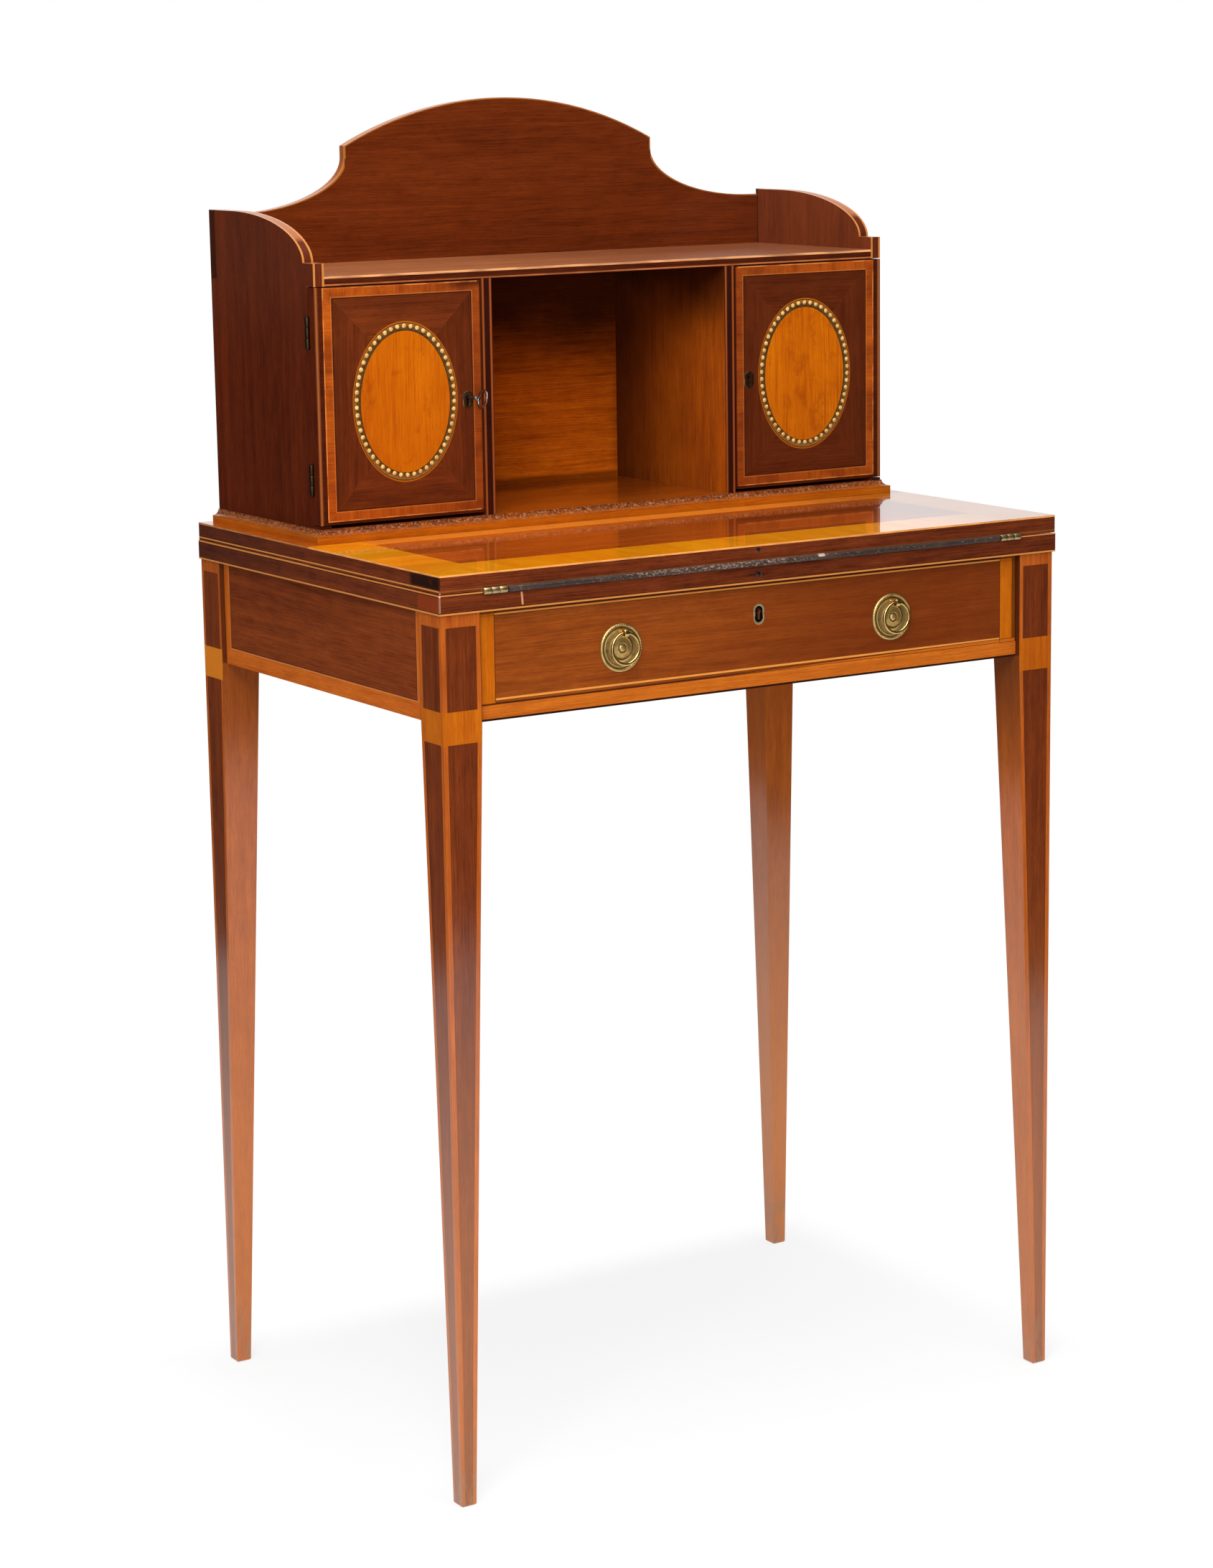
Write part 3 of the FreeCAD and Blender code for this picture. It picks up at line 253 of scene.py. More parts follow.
class Net:
    """A node tree with short calls that add a node and give the reading of its output."""

    def __init__(self, tree):
        self.tree = tree
        tree.nodes.clear()

    def add(self, kind, output, inputs, **settings):
        node = self.tree.nodes.new(kind)
        for name, value in settings.items():
            setattr(node, name, value)
        feed(self.tree, node, inputs)
        return Reading(self, node.outputs[output])

    def shader(self, kind, inputs):
        """Output of a new shader node."""
        node = self.tree.nodes.new(kind)
        feed(self.tree, node, inputs)
        return node.outputs[0]

    def blended(self, share, first, second):
        """Shader that goes from the first to the second with the share."""
        return self.shader("ShaderNodeMixShader", {0: share, 1: first, 2: second})

    def show(self, shader, kind="ShaderNodeOutputMaterial"):
        """Ends the tree with a shader, and gives the material the tree belongs to, if it has one."""
        feed(self.tree, self.tree.nodes.new(kind), {"Surface": shader})
        return next((m for m in bpy.data.materials if m.use_nodes and m.node_tree == self.tree), None)

    def math(self, operation, *values, clamp=False):
        return self.add("ShaderNodeMath", 0, dict(enumerate(values)), operation=operation, use_clamp=clamp)

    def least(self, first, *others):
        for other in others:
            first = self.math("MINIMUM", first, other)
        return first

    def most(self, first, *others):
        for other in others:
            first = self.math("MAXIMUM", first, other)
        return first

    def join(self, x, y, z):
        return self.add("ShaderNodeCombineXYZ", 0, {0: x, 1: y, 2: z})

    def split(self, vector):
        node = self.tree.nodes.new("ShaderNodeSeparateXYZ")
        self.tree.links.new(vector.socket, node.inputs[0])
        return [Reading(self, output) for output in node.outputs]

    def scaled(self, vector, x, y, z):
        return self.add("ShaderNodeVectorMath", 0, {0: vector, 1: (x, y, z)}, operation="MULTIPLY")

    def shifted(self, vector, x, y, z):
        return self.add("ShaderNodeVectorMath", 0, {0: vector, 1: (x, y, z)}, operation="ADD")

    def place(self):
        """Object coordinates in millimetres."""
        metres = self.add("ShaderNodeTexCoord", "Object", {})
        return self.scaled(metres, 1000, 1000, 1000)

    def facing(self):
        """Three parts of the surface's direction, in the desk's own axes."""
        return self.split(self.add("ShaderNodeTexCoord", "Normal", {}))

    def noise(self, vector, detail=2.0, roughness=0.5):
        return self.add("ShaderNodeTexNoise", 0, {"Vector": vector, "Scale": 1.0, "Detail": detail,
                                                  "Roughness": roughness})

    def clouds(self, x, y, z, detail=2.0, roughness=0.5):
        """Noise over the piece, in clouds about x by y by z millimetres."""
        return self.noise(self.scaled(self.place(), 1 / x, 1 / y, 1 / z), detail, roughness)

    def far(self, u, v):
        """Distance from the origin of two coordinates."""
        return self.math("SQRT", u * u + v * v)

    def inside(self, distance, soft=0.14):
        """1 where a distance is above zero, 0 below, with an edge that soft."""
        return self.math("MULTIPLY_ADD", distance, 1 / soft, 0.5, clamp=True)

    def stripe(self, distance, low, high, soft=0.14):
        return self.inside(distance - low, soft) * self.inside(high - distance, soft)

    def ramp(self, value, low, high):
        return self.add("ShaderNodeMapRange", 0, {0: value, 1: low, 2: high}, interpolation_type="SMOOTHSTEP")

    def nicks(self, u, v, spacing, radius):
        """1 in small round chips, one in each cell of that spacing over two coordinates."""
        grid = self.join(u / spacing, v / spacing, 0.0)
        cells = self.add("ShaderNodeTexVoronoi", 0, {"Vector": grid, "Scale": 1.0}, feature="F1")
        return self.inside(float(radius) - cells * float(spacing), 0.5)

    def mix(self, share, first, second):
        """Colour that goes from the first to the second with the share."""
        return self.add("ShaderNodeMix", 2, {0: share, 6: first, 7: second}, data_type="RGBA")

    def over(self, shade, *layers):
        """Colour under thin layers, each a share and its own colour, laid on one after the other."""
        for share, layer in layers:
            shade = self.mix(share, shade, layer)
        return shade

    def turn(self, share, first, second):
        """Vector that goes from the first to the second with the share."""
        return self.add("ShaderNodeMix", 1, {0: share, 4: first, 5: second}, data_type="VECTOR")


def wood_figure():
    """How wood varies, for coordinates in millimetres with x along the fibres.

    Tone is the sum of slow drift, stripes as wide as asked, fine fibres and faint clouds, each a noise
    stretched along x after y and z have been made to wander a little. Pores are short dashes where a fast
    stretched noise is high.
    """
    tree = bpy.data.node_groups.get("wood_figure")
    if tree:
        return tree
    tree = bpy.data.node_groups.new("wood_figure", "ShaderNodeTree")
    for name, kind in (("Grain", "NodeSocketVector"), ("Stripe", "NodeSocketFloat")):
        tree.interface.new_socket(name=name, in_out="INPUT", socket_type=kind)
    for name in ("Tone", "Fibre", "Pores"):
        tree.interface.new_socket(name=name, in_out="OUTPUT", socket_type="NodeSocketFloat")
    net = Net(tree)
    grain = net.add("NodeGroupInput", 0, {})
    stripe_width = Reading(net, grain.socket.node.outputs[1])
    wander = net.noise(net.scaled(grain, 1 / 170, 1 / 45, 1 / 45), 1.0) - 0.5
    x, y, z = net.split(grain)
    y = y + wander * 5.0
    z = z + wander * 3.0
    bent = net.join(x, y, z)
    drift = net.noise(net.scaled(bent, 1 / 420, 1 / 70, 1 / 70), 2.0)
    stripes = net.noise(net.join(x / 310, y / stripe_width, z / stripe_width), 2.5, 0.6)
    fibre = net.noise(net.scaled(bent, 1 / 42, 1 / 0.9, 1 / 0.9), 3.0, 0.6)
    cloud = net.noise(net.scaled(bent, 1 / 26, 1 / 11, 1 / 11), 3.0, 0.6)
    dashes = net.noise(net.scaled(bent, 1 / 8, 1 / 0.7, 1 / 0.7), 1.0)
    tone = drift * 0.7 + stripes * 0.75 + fibre * 1.25 + cloud * 0.6 - 1.15
    out = tree.nodes.new("NodeGroupOutput")
    links = (net.most(net.least(tone, 1.0), 0.0), fibre, net.ramp(dashes, 0.57, 0.68))
    for socket, value in zip(out.inputs, links):
        tree.links.new(value.socket, socket)
    return tree


def new_net(name):
    material = bpy.data.materials.new(name)
    material.use_nodes = True
    return Net(material.node_tree)


def start(name):
    """A new finish, with the coordinates x, y and z of its surface in millimetres."""
    net = new_net(name)
    return (net, *net.split(net.place()))


def veneer(net, grain, dark, light, stripe=9.0, seed=0.0):
    """Colour and relief of wood whose fibres run along the grain vector's x."""
    node = net.tree.nodes.new("ShaderNodeGroup")
    node.node_tree = wood_figure()
    moved = net.shifted(grain, 131.0 * seed, 57.0 * seed, 23.0 * seed)
    feed(net.tree, node, {"Grain": moved, "Stripe": stripe})
    tone, fibre, pores = [Reading(net, output) for output in node.outputs]
    shade = net.mix(tone, dark, light)
    return net.mix(pores * 0.35, shade, dark), fibre * 0.035 - pores * 0.05


def surface(net, shade, relief, rough, spread=0.12, metallic=0.0, coat=0.0, coat_rough=0.08, coat_ior=1.5,
            ior=1.45, level=0.5, patch=26.0):
    """Joins colour, relief in millimetres and roughness to the shader. Roughness varies in rubbed patches."""
    rubbed = net.clouds(patch, patch, patch, 4.0, 0.62)
    roughness = net.math("ADD", rough - spread / 2, rubbed * spread, clamp=True)
    bump = net.add("ShaderNodeBump", 0, {"Height": relief, "Distance": MM, "Strength": 1.0})
    inputs = {"Base Color": shade, "Roughness": roughness, "Normal": bump, "Metallic": metallic,
              "Coat Weight": coat, "Coat Roughness": coat_rough, "Coat IOR": coat_ior, "IOR": ior,
              "Specular IOR Level": level}
    return net.show(net.shader("ShaderNodeBsdfPrincipled", inputs))


def polish(net, shade, relief, rough=0.34, coat=0.6, coat_rough=0.1, level=0.06, **more):
    """French polish over wood."""
    return surface(net, shade, relief, rough, coat=coat, coat_rough=coat_rough, level=level, **more)


def finish(nodes, material):
    """Gives carried-over parts their finish."""
    for name in nodes:
        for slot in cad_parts[name].material_slots:
            slot.material = material


# ------------------------------------------------------------------ finishes of the table
LEG = tints(border_dark=(138, 58, 10), border_light=(196, 100, 30), inner_dark=(138, 62, 10),
            inner_light=(186, 96, 24), panel_dark=(72, 26, 7), panel_light=(132, 58, 17),
            faded=(214, 128, 48), grime=(60, 24, 10), recess=(62, 23, 11), sunlit_cuff=(232, 142, 34),
            scuffed=(150, 108, 74))


def leg_veneer(woods, inlays):
    """Legs: mahogany panels in satinwood borders on the outer faces, parted by a cuff.

    The distance from the outer arris is the larger of the distances behind the two outer faces, because one
    of them is zero on each face. A panel is where that distance is a border's width from both arrises. The
    front right leg's cuff sits a little higher than the others.
    """
    net, x, y, z = start("leg_veneer")
    right, front = net.inside(x), net.inside(-y)
    from_side = float(-LEG_LOW[0]) - abs(x)
    from_end = net.least(y - LEG_LOW[1], BACK_LEG_HIGH[1] - y)
    square = LEG_HIGH[0] - LEG_LOW[0]
    width = net.least(z * float((square - LEG_FOOT) / FRIEZE_LOW[2]) + LEG_FOOT, float(square))
    from_arris = net.most(from_side, from_end)
    raised = right * front
    cuff_top = inlays.cuff_top + raised * 3.6
    cuff_bottom = inlays.cuff_bottom + raised * 1.8
    upright = net.most(net.least(z - cuff_top, inlays.leg_head - z), cuff_bottom - z)
    border = net.least(width * 0.26, inlays.leg_border)
    inset = net.least(from_arris - border, width - border - from_arris, upright, BACK_LEG_HIGH[1] - 0.5 - y)
    panel = net.inside(inset)
    line = net.stripe(inset, -0.5, 0.1)
    inner = net.inside(from_arris - width + 0.35)
    cuff = net.inside(net.least(z - cuff_bottom, cuff_top - z))
    border_dark = net.mix(cuff, LEG.border_dark, woods.satin_dark)
    border_light = net.mix(cuff, LEG.border_light, woods.satin_light)
    dark = net.mix(panel, net.mix(inner, border_dark, LEG.inner_dark), LEG.panel_dark)
    light = net.mix(panel, net.mix(inner, border_light, LEG.inner_light), LEG.panel_light)
    shade, relief = veneer(net, net.join(z, x + panel * 60.0, y), dark, light, 7.0, 1.0)
    # Painted light: the lower legs, the back right one most, are lighter where light bounces up from the
    # floor.
    faded = net.ramp(520.0 - z, 0.0, 420.0) * (right * net.inside(y) * 0.3 + 0.26)
    # Painted shade: the inner faces darken upwards into the shade under the frieze.
    grime = net.ramp(z, 480.0, FRIEZE_LOW[2]) * inner * (right * front * 0.24 + 0.42)
    # Painted shade: the inner faces beside the frieze, in its recess, are darkened and lose most of their
    # coat.
    recess = inner * net.inside(z - (FRIEZE_LOW[2] + 0.3))
    sunlit = cuff * (1.0 - inner) * net.inside(-x) * net.inside(y)
    worn = net.inside(46.0 - z, 40.0) * net.ramp(net.clouds(9, 9, 30, 4.0, 0.7), 0.42, 0.62)
    shade = net.over(shade, (line * 0.7, woods.joint_line), (faded, LEG.faded), (grime, LEG.grime),
                     (recess * 0.75, LEG.recess), (sunlit * 0.5, LEG.sunlit_cuff), (worn * 0.55, LEG.scuffed))
    return polish(net, shade, relief - worn * 0.1 - line * 0.02, 0.36, coat=1.0 - recess * 0.9, coat_ior=1.62)


FRIEZE = tints(band_dark=(150, 64, 10), band_light=(206, 108, 30), string=(196, 124, 72))


def side_frieze_veneer(woods, inlays):
    """Side friezes: a mahogany field between upright satinwood bands, over one along the bottom."""
    net, x, y, z = start("side_frieze_veneer")
    outer = net.inside(abs(x) + (FRIEZE_LOW[0] + 0.5))
    front, back = float(LEG_HIGH[1]), float(BACK_LEG_LOW[1])
    stiles = net.least(y - front - inlays.frieze_stile, back - inlays.frieze_stile - y)
    foot = z - FRIEZE_LOW[2] - inlays.frieze_foot
    inset = net.least(stiles, foot)
    band = (1.0 - net.inside(inset)) * outer
    upright = band * net.inside(foot - stiles)
    grain = net.turn(upright, net.join(y, z, x), net.join(z, y, x))
    shade, relief = veneer(net, grain, net.mix(band, woods.mahogany_dark, FRIEZE.band_dark),
                           net.mix(band, woods.mahogany_light, FRIEZE.band_light), 8.0, 2.0)
    string = net.stripe(inset, -1.5, -0.4) * outer
    at_leg = net.inside(1.6 - net.least(y - front, back - y))
    line = net.most(net.stripe(inset, -0.45, 0.35), at_leg) * outer
    shade = net.over(shade, (string * 0.6, FRIEZE.string), (line * 0.8, woods.joint_line))
    return polish(net, shade, relief - line * 0.03, 0.34)


DRAWER = tints(field_dark=(104, 44, 10), field_light=(161, 80, 22), lining_dark=(92, 46, 24),
               lining_light=(140, 82, 46), redder=(86, 27, 5), string=(212, 138, 60), nick=(206, 150, 112),
               lip=(180, 90, 20))


def drawer_veneer(woods, inlays):
    """Drawer front: long mahogany field with upright end bands and a string above and below.

    A satinwood lip along the lower edge grows wider to the right.
    """
    net, x, y, z = start("drawer_veneer")
    face = net.inside(DRAWER_LOW[1] + 0.4 - y)
    slip = net.inside(x) * 3.6
    ends = DRAWER_HIGH[0] - inlays.drawer_end - slip * 0.5 - abs(x)
    within = net.inside(ends)
    band = (1.0 - within) * face
    above, below = DRAWER_HIGH[2] - z, z - DRAWER_LOW[2]
    string = net.most(net.stripe(above, 2.2, 2.5 + inlays.string),
                      net.stripe(below, 2.6, 3.2 + inlays.string))
    # Painted shadow under the top's overhang, along the lower edge and at the right end, with a dark line
    # under the upper string.
    edge_shadow_and_line = net.most(net.inside(2.1 - above), net.inside(0.7 - below), net.stripe(above, 3.6, 4.2) * 0.4,
                         net.inside(slip - (DRAWER_HIGH[0] - abs(x)))) * face
    dark = net.mix(band, net.mix(face, DRAWER.lining_dark, DRAWER.field_dark), woods.satin_dark)
    light = net.mix(band, net.mix(face, DRAWER.lining_light, DRAWER.field_light), woods.satin_light)
    shade, relief = veneer(net, net.turn(band, net.join(x, z, y), net.join(z, x, y)), dark, light, 7.0, 3.0)
    lip = net.ramp(x, -60.0, 250.0) * 2.5 - below
    line = net.most(net.stripe(ends, -0.35, 0.35) * face, edge_shadow_and_line * net.inside(-lip),
                    net.stripe(-lip, 0.0, 0.6) * face)
    # Painted shade: the field darkens towards the right, away from the lamps.
    shade = net.over(shade, (net.ramp(x, -220.0, 120.0) * within * face * 0.58, DRAWER.redder),
                     (string * face * within, DRAWER.string),
                     (net.nicks(x, z, 64.0, 0.8) * face * 0.8, DRAWER.nick),
                     (net.inside(lip) * face, DRAWER.lip), (line * 0.7, woods.joint_line))
    return polish(net, shade, relief - line * 0.03, 0.33)


RAIL = tints(dark=(150, 66, 10), light=(202, 110, 28))


def rail_veneer(woods):
    """Rail under the drawer: satinwood with a painted shadow line along its lower arris."""
    net, x, y, z = start("rail_veneer")
    low, high = limits("front_rail")
    shade, relief = veneer(net, net.join(x, z, y), RAIL.dark, RAIL.light, 6.0, 4.0)
    # Dark lines: along the top edge, fading out to the right, and along the lower arris as painted shadow.
    upper_line = net.inside(z - high[2] + 0.5, 0.4) * net.ramp(-x, -120.0, 60.0) * 0.8
    line = net.most(net.inside(low[2] + 1.7 - z, 0.4), upper_line)
    return polish(net, net.mix(line, shade, woods.joint_line), relief, 0.36)


LEAF = tints(field_dark=(130, 51, 11), field_light=(208, 98, 27), edge_light=(128, 57, 24),
             band_dark=(222, 112, 4), band_light=(255, 178, 20), band_shaded=(128, 60, 24),
             field_red=(88, 25, 10), band_back=(222, 120, 62), dulled=(58, 34, 22), edge_back=(48, 24, 20),
             arris=(232, 158, 88), chip=(168, 128, 108), fresh_chip=(226, 156, 136), repair=(128, 50, 16),
             stain=(20, 8, 3), scratch=(214, 150, 112), nick=(226, 190, 150))


def leaf_veneer(woods, inlays):
    """Fixed top, flap and the board behind it: one crossbanded field above, stringed edges all round.

    The inset is the smallest distance within the crossbanding's inner outline, so its contours are mitred at
    the corners. The fibres of the band run towards the nearest edge.
    """
    net, x, y, z = start("leaf_veneer")
    side = FLAP_HIGH[0] - abs(x)
    front = y - TOP_LOW[1]
    back = TOP_HIGH[1] - y
    upper = net.inside(z - (FLAP_HIGH[2] - 0.2))
    edges = 1.0 - upper
    behind = net.inside(y - (FLAP_HIGH[1] + 0.2))
    in_side = side - inlays.top_side
    in_long = net.least(front - inlays.top_front, FLAP_HIGH[1] - inlays.flap_back - y)
    inset = net.least(in_side, in_long)
    band = (1.0 - net.inside(inset)) * upper * (1.0 - behind)
    along_x = net.join(x, y, z)
    plain = net.turn(net.inside(0.5 - side), net.join(x, z, y), net.join(y, z, x))
    crossed = net.turn(net.inside(in_long - in_side, 0.3), net.join(y, x, z), along_x)
    grain = net.turn(upper, plain, net.turn(band, along_x, crossed))
    dark = net.mix(band, net.mix(upper, woods.case_dark, LEAF.field_dark), LEAF.band_dark)
    light = net.mix(band, net.mix(upper, LEAF.edge_light, LEAF.field_light), LEAF.band_light)
    shade, relief = veneer(net, grain, dark, light, 9.0, 5.0)
    joint = net.stripe(inset, -0.3, 0.3) * upper * (1.0 - behind)
    shade = net.over(shade, (net.ramp(x, 90.0, 240.0) * band * 0.35, LEAF.band_shaded),
                     # Painted shade on the field's right half.
                     (net.ramp(x, -90.0, 90.0) * (upper - band) * 0.5, LEAF.field_red),
                     (net.ramp(y, -60.0, -20.0) * net.inside(in_side) * band * 0.45, LEAF.band_back),
                     # Painted shade over the right end of the upper faces.
                     (net.ramp(x, 150.0, 280.0) * upper * 0.5, LEAF.dulled), (joint * 0.6, woods.joint_line),
                     (net.ramp(y, -100.0, 200.0) * net.inside(-x) * edges * 0.4, LEAF.edge_back))
    shade = leaf_edge(net, (x, y, z), (side, front, back), edges, behind, shade, woods, inlays)
    shade = net.mix(net.nicks(x, y, 70.0, 0.8) * upper * 0.7, shade, LEAF.nick)
    return polish(net, shade, relief * 0.4 - joint * 0.02, 0.3, coat=1.0, coat_rough=0.05, coat_ior=1.6,
                  level=0.05, spread=0.08)


def leaf_edge(net, place, inward, edges, behind, shade, woods, inlays):
    """Edges of the leaves: strings between dark lines, a worn pale arris, and the marks of long use.

    The marks are a chipped front left corner, a darker repair and a stain on the left edge and a scratch on
    the front edge.
    """
    x, y, z = place
    side, front, back = inward
    low, middle, leaf, high = TOP_LOW[2], TOP_HIGH[2], FLAP_LOW[2], FLAP_HIGH[2]
    width = inlays.string
    near_front = net.inside(0.8 - front)
    flap_string = net.stripe(z, leaf + 1.5, leaf + 2.7) * (1.0 - near_front * 0.8)
    strings = net.most(net.stripe(z, low, low + width + 0.4),
                       net.stripe(z, middle - width - 0.1, middle + 0.2), flap_string)
    proud = net.inside(0.6 - net.least(side, front, back))
    beside = net.most(net.stripe(z, low + width + 0.4, low + width + 1.0),
                      net.stripe(z, middle - width - 0.8, middle - width - 0.1),
                      net.stripe(z, leaf + 2.7, leaf + 3.2) * (1.0 - near_front))
    wear = net.ramp(net.noise(net.join(x / 22, y / 22, 0.0), 3.0), 0.3, 0.6) * 0.35 + 0.65
    arris = net.inside(z - (high - 1.5)) * proud * edges * (1.0 - behind * 0.5)
    corner = net.inside(1.2 - front) * net.inside(-TOP_HIGH[0] + 1.2 - x) * edges
    chipped = corner * net.inside(middle - z) * net.inside(z - (low + 2.3))
    left = net.inside(-FLAP_HIGH[0] + 0.5 - x)
    start_y = TOP_LOW[1]
    repair = net.stripe(y, start_y + 1, start_y + 34, 1.0) * net.stripe(z, low + 2.2, middle - 2.2, 0.4)
    stain = net.stripe(y, start_y + 0.5, start_y + 47, 6.0) * net.stripe(z, leaf + 3.4, high - 1.9, 1.4)
    blotch = net.ramp(net.clouds(16, 16, 16, 3.0), 0.08, 0.46)
    scratch = net.stripe(x + (z - (low + 6.3)) * 0.08, -228.6, -226.9, 0.5)
    scratch = scratch * net.stripe(z, low + 2.8, low + 12.8, 1.0) * net.inside(0.5 - front)
    return net.over(shade, (beside * edges * proud * 0.7, woods.joint_line),
                    (strings * edges * proud, woods.string), (arris * wear, LEAF.arris),
                    (chipped * 0.6, LEAF.chip),
                    (corner * net.stripe(z, middle - 1.6, leaf + 1.2), LEAF.fresh_chip),
                    (repair * left * 0.85, LEAF.repair), (stain * left * blotch * 0.9, LEAF.stain),
                    (scratch * 0.8, LEAF.scratch))


# ------------------------------------------------------------------ finishes of the cabinet
CASE = tints(inner_light=(132, 60, 26), sheen=(132, 78, 58), swept_edge=(190, 112, 62))


def case_side_veneer(woods):
    """Cabinet sides: upright dark mahogany, pale strings on the front edge and along the swept top."""
    net, x, y, z = start("case_side_veneer")
    nx, ny, nz = net.facing()
    across = abs(x) - (-CASE_HIGH[0])
    thick = float(CASE_HIGH[0] - CASE_LOW[0])
    edge = net.inside(0.5 - abs(nx), 0.1)
    over_door = net.inside(z - DOOR_HIGH[2], 0.5)
    ahead = edge * net.inside(-0.5 - ny, 0.1)
    front = ahead * over_door
    above = edge * net.inside(abs(nz) + abs(ny) - 0.5, 0.1) * net.inside(z - (DOOR_HIGH[2] + 6), 0.5)
    string = net.inside(1.9 - net.least(across, thick - across)) * net.most(above, front)
    inner = net.inside(0.6 - across)
    dark = net.mix(inner, woods.case_dark, woods.mahogany_dark)
    light = net.mix(inner, woods.case_light, CASE.inner_light)
    shade, relief = veneer(net, net.join(z, y, x), dark, light, 11.0, 6.0)
    corner = net.inside(y - (BACK_LOW[1] - 1.6), 0.5) * (1.0 - edge) * over_door
    shade = net.over(shade, (net.ramp(z, 880.0, 1010.0) * 0.12, CASE.sheen),
                     (above * 0.6 * (1.0 - front), CASE.swept_edge), (string * 0.9, woods.string),
                     # The front edges below the door tops, behind the doors, get painted shade.
                     (corner * 0.7, woods.joint_line), (ahead * (1.0 - over_door) * 0.8, woods.joint_line))
    return polish(net, shade, relief, 0.32, coat=0.3)


BACK = tints(dark=(69, 23, 5), light=(119, 50, 15), inside_dark=(146, 54, 4), inside_light=(244, 120, 20),
             soot=(26, 7, 3), edge=(176, 98, 52))


def case_back_veneer(woods):
    """Back board: level mahogany with a string along its shaped top.

    The string follows the outline: a circle's arc for the crest, a hollow quarter ellipse down each shoulder.
    The inset is the distance within that outline.
    """
    net, x, y, z = start("case_back_veneer")
    _, ny, _ = net.facing()
    away = abs(x)
    crest = float(BACK_HIGH[2])
    ear_top = crest - CREST_RISE
    ear_foot = ear_top - EAR_HEIGHT
    shoulder = ear_foot - SHOULDER_RISE
    radius = (EAR_HALF ** 2 + CREST_RISE ** 2) / (2 * CREST_RISE)
    arch = radius - net.far(x, z - (crest - radius))
    arch = net.least(arch, net.most(EAR_HALF - away, ear_foot - z))
    hollow = net.far((SHOULDER_END - away) / SHOULDER_RUN, (z - ear_foot) / SHOULDER_RISE) - 1.0
    below = net.most(hollow * SHOULDER_REACH, 0.0)
    outside = net.inside(away - EAR_HALF)
    level_end = shoulder - z + 999.0 * net.inside(SHOULDER_END - away)
    inset = arch * (1.0 - outside) + net.least(below, level_end) * outside
    front = net.inside(abs(ny) - 0.5, 0.1)
    string = net.inside(1.1 - inset) * front
    edge = (1.0 - front) * net.inside(z - shoulder + 4.0)
    rim = edge * net.inside(BACK_LOW[1] + 2.2 - y)
    inside = net.inside(float(SHELF_LOW[2]) + 4 - z) * net.inside(float(BACK_LOW[1]) + 1 - y)
    # Painted light: within the cupboards the board is a brighter copy of its veneer, standing in for the
    # light there.
    shade, relief = veneer(net, net.join(x, z, y), net.mix(inside, BACK.dark, BACK.inside_dark),
                           net.mix(inside, BACK.light, BACK.inside_light), 8.0, 7.0)
    # Painted shade in the cupboards: darker under the shelf, towards the dividers and along the bottom, with
    # a ragged edge.
    shadow_wobble = net.clouds(60, 60, 36, 3.0) * 46.0
    in_shadow = net.most(net.ramp(z + shadow_wobble, 860.0, 958.0) * 0.93,
                     net.ramp(away + shadow_wobble * 0.3, 112.0, 134.0) * 0.6,
                     net.inside(float(DOOR_LOW[2]) + 2.5 - z, 3.0) * 0.6) * inside
    shade = net.over(shade, (in_shadow, BACK.soot), (edge * 0.7, BACK.edge),
                     (net.most(string * 0.55, rim), woods.string))
    return polish(net, shade, relief, 0.3, coat=(1.0 - inside) * 0.4 + 0.05, coat_rough=0.1,
                  level=(1.0 - inside) * 0.06)


DIVIDER = tints(inside_dark=(126, 54, 14), inside_light=(196, 98, 16), soot=(34, 10, 4), edge=(30, 11, 9),
                string=(150, 76, 34))


def divider_veneer(woods):
    """Dividers: upright satin brown within, lightened there as painted light, dark front edge between two
    strings.
    """
    net, x, y, z = start("divider_veneer")
    away = abs(x)
    front = net.inside(DIVIDER_LOW[1] + 0.3 - y)
    within = net.inside(DIVIDER_LOW[0] + 0.3 - away)
    # Painted light: the faces within the cupboards are a brighter copy of the veneer.
    dark = net.mix(front, net.mix(within, woods.mahogany_dark, DIVIDER.inside_dark), woods.case_dark)
    light = net.mix(front, net.mix(within, woods.mahogany_light, DIVIDER.inside_light), woods.case_light)
    shade, relief = veneer(net, net.join(z, y, x), dark, light, 9.0, 8.0)
    # Painted shade in the cupboards: darker under the shelf and towards the back, with a ragged edge.
    shadow_wobble = net.clouds(60, 60, 60, 3.0) * 50.0
    in_shadow = net.most(net.ramp(z + shadow_wobble, 905.0, 990.0) * 0.9, net.ramp(y + shadow_wobble, 70.0, 225.0) * 0.8)
    string = net.stripe(net.least(away - DIVIDER_LOW[0], DIVIDER_HIGH[0] - away), 0.5, 2.3, 0.8) * front
    shade = net.over(shade, (in_shadow * within * (1.0 - front), DIVIDER.soot), (front * 0.75, DIVIDER.edge),
                     (string * 0.85, DIVIDER.string))
    return polish(net, shade, relief, 0.34, coat=0.3)


SHELF = tints(dark=(132, 72, 40), light=(188, 122, 80), shaded=(86, 40, 28), edge_dark=(38, 11, 4),
              edge_light=(92, 36, 14), upper_string=(222, 158, 106), lower_string=(172, 100, 56),
              nick=(226, 190, 150))


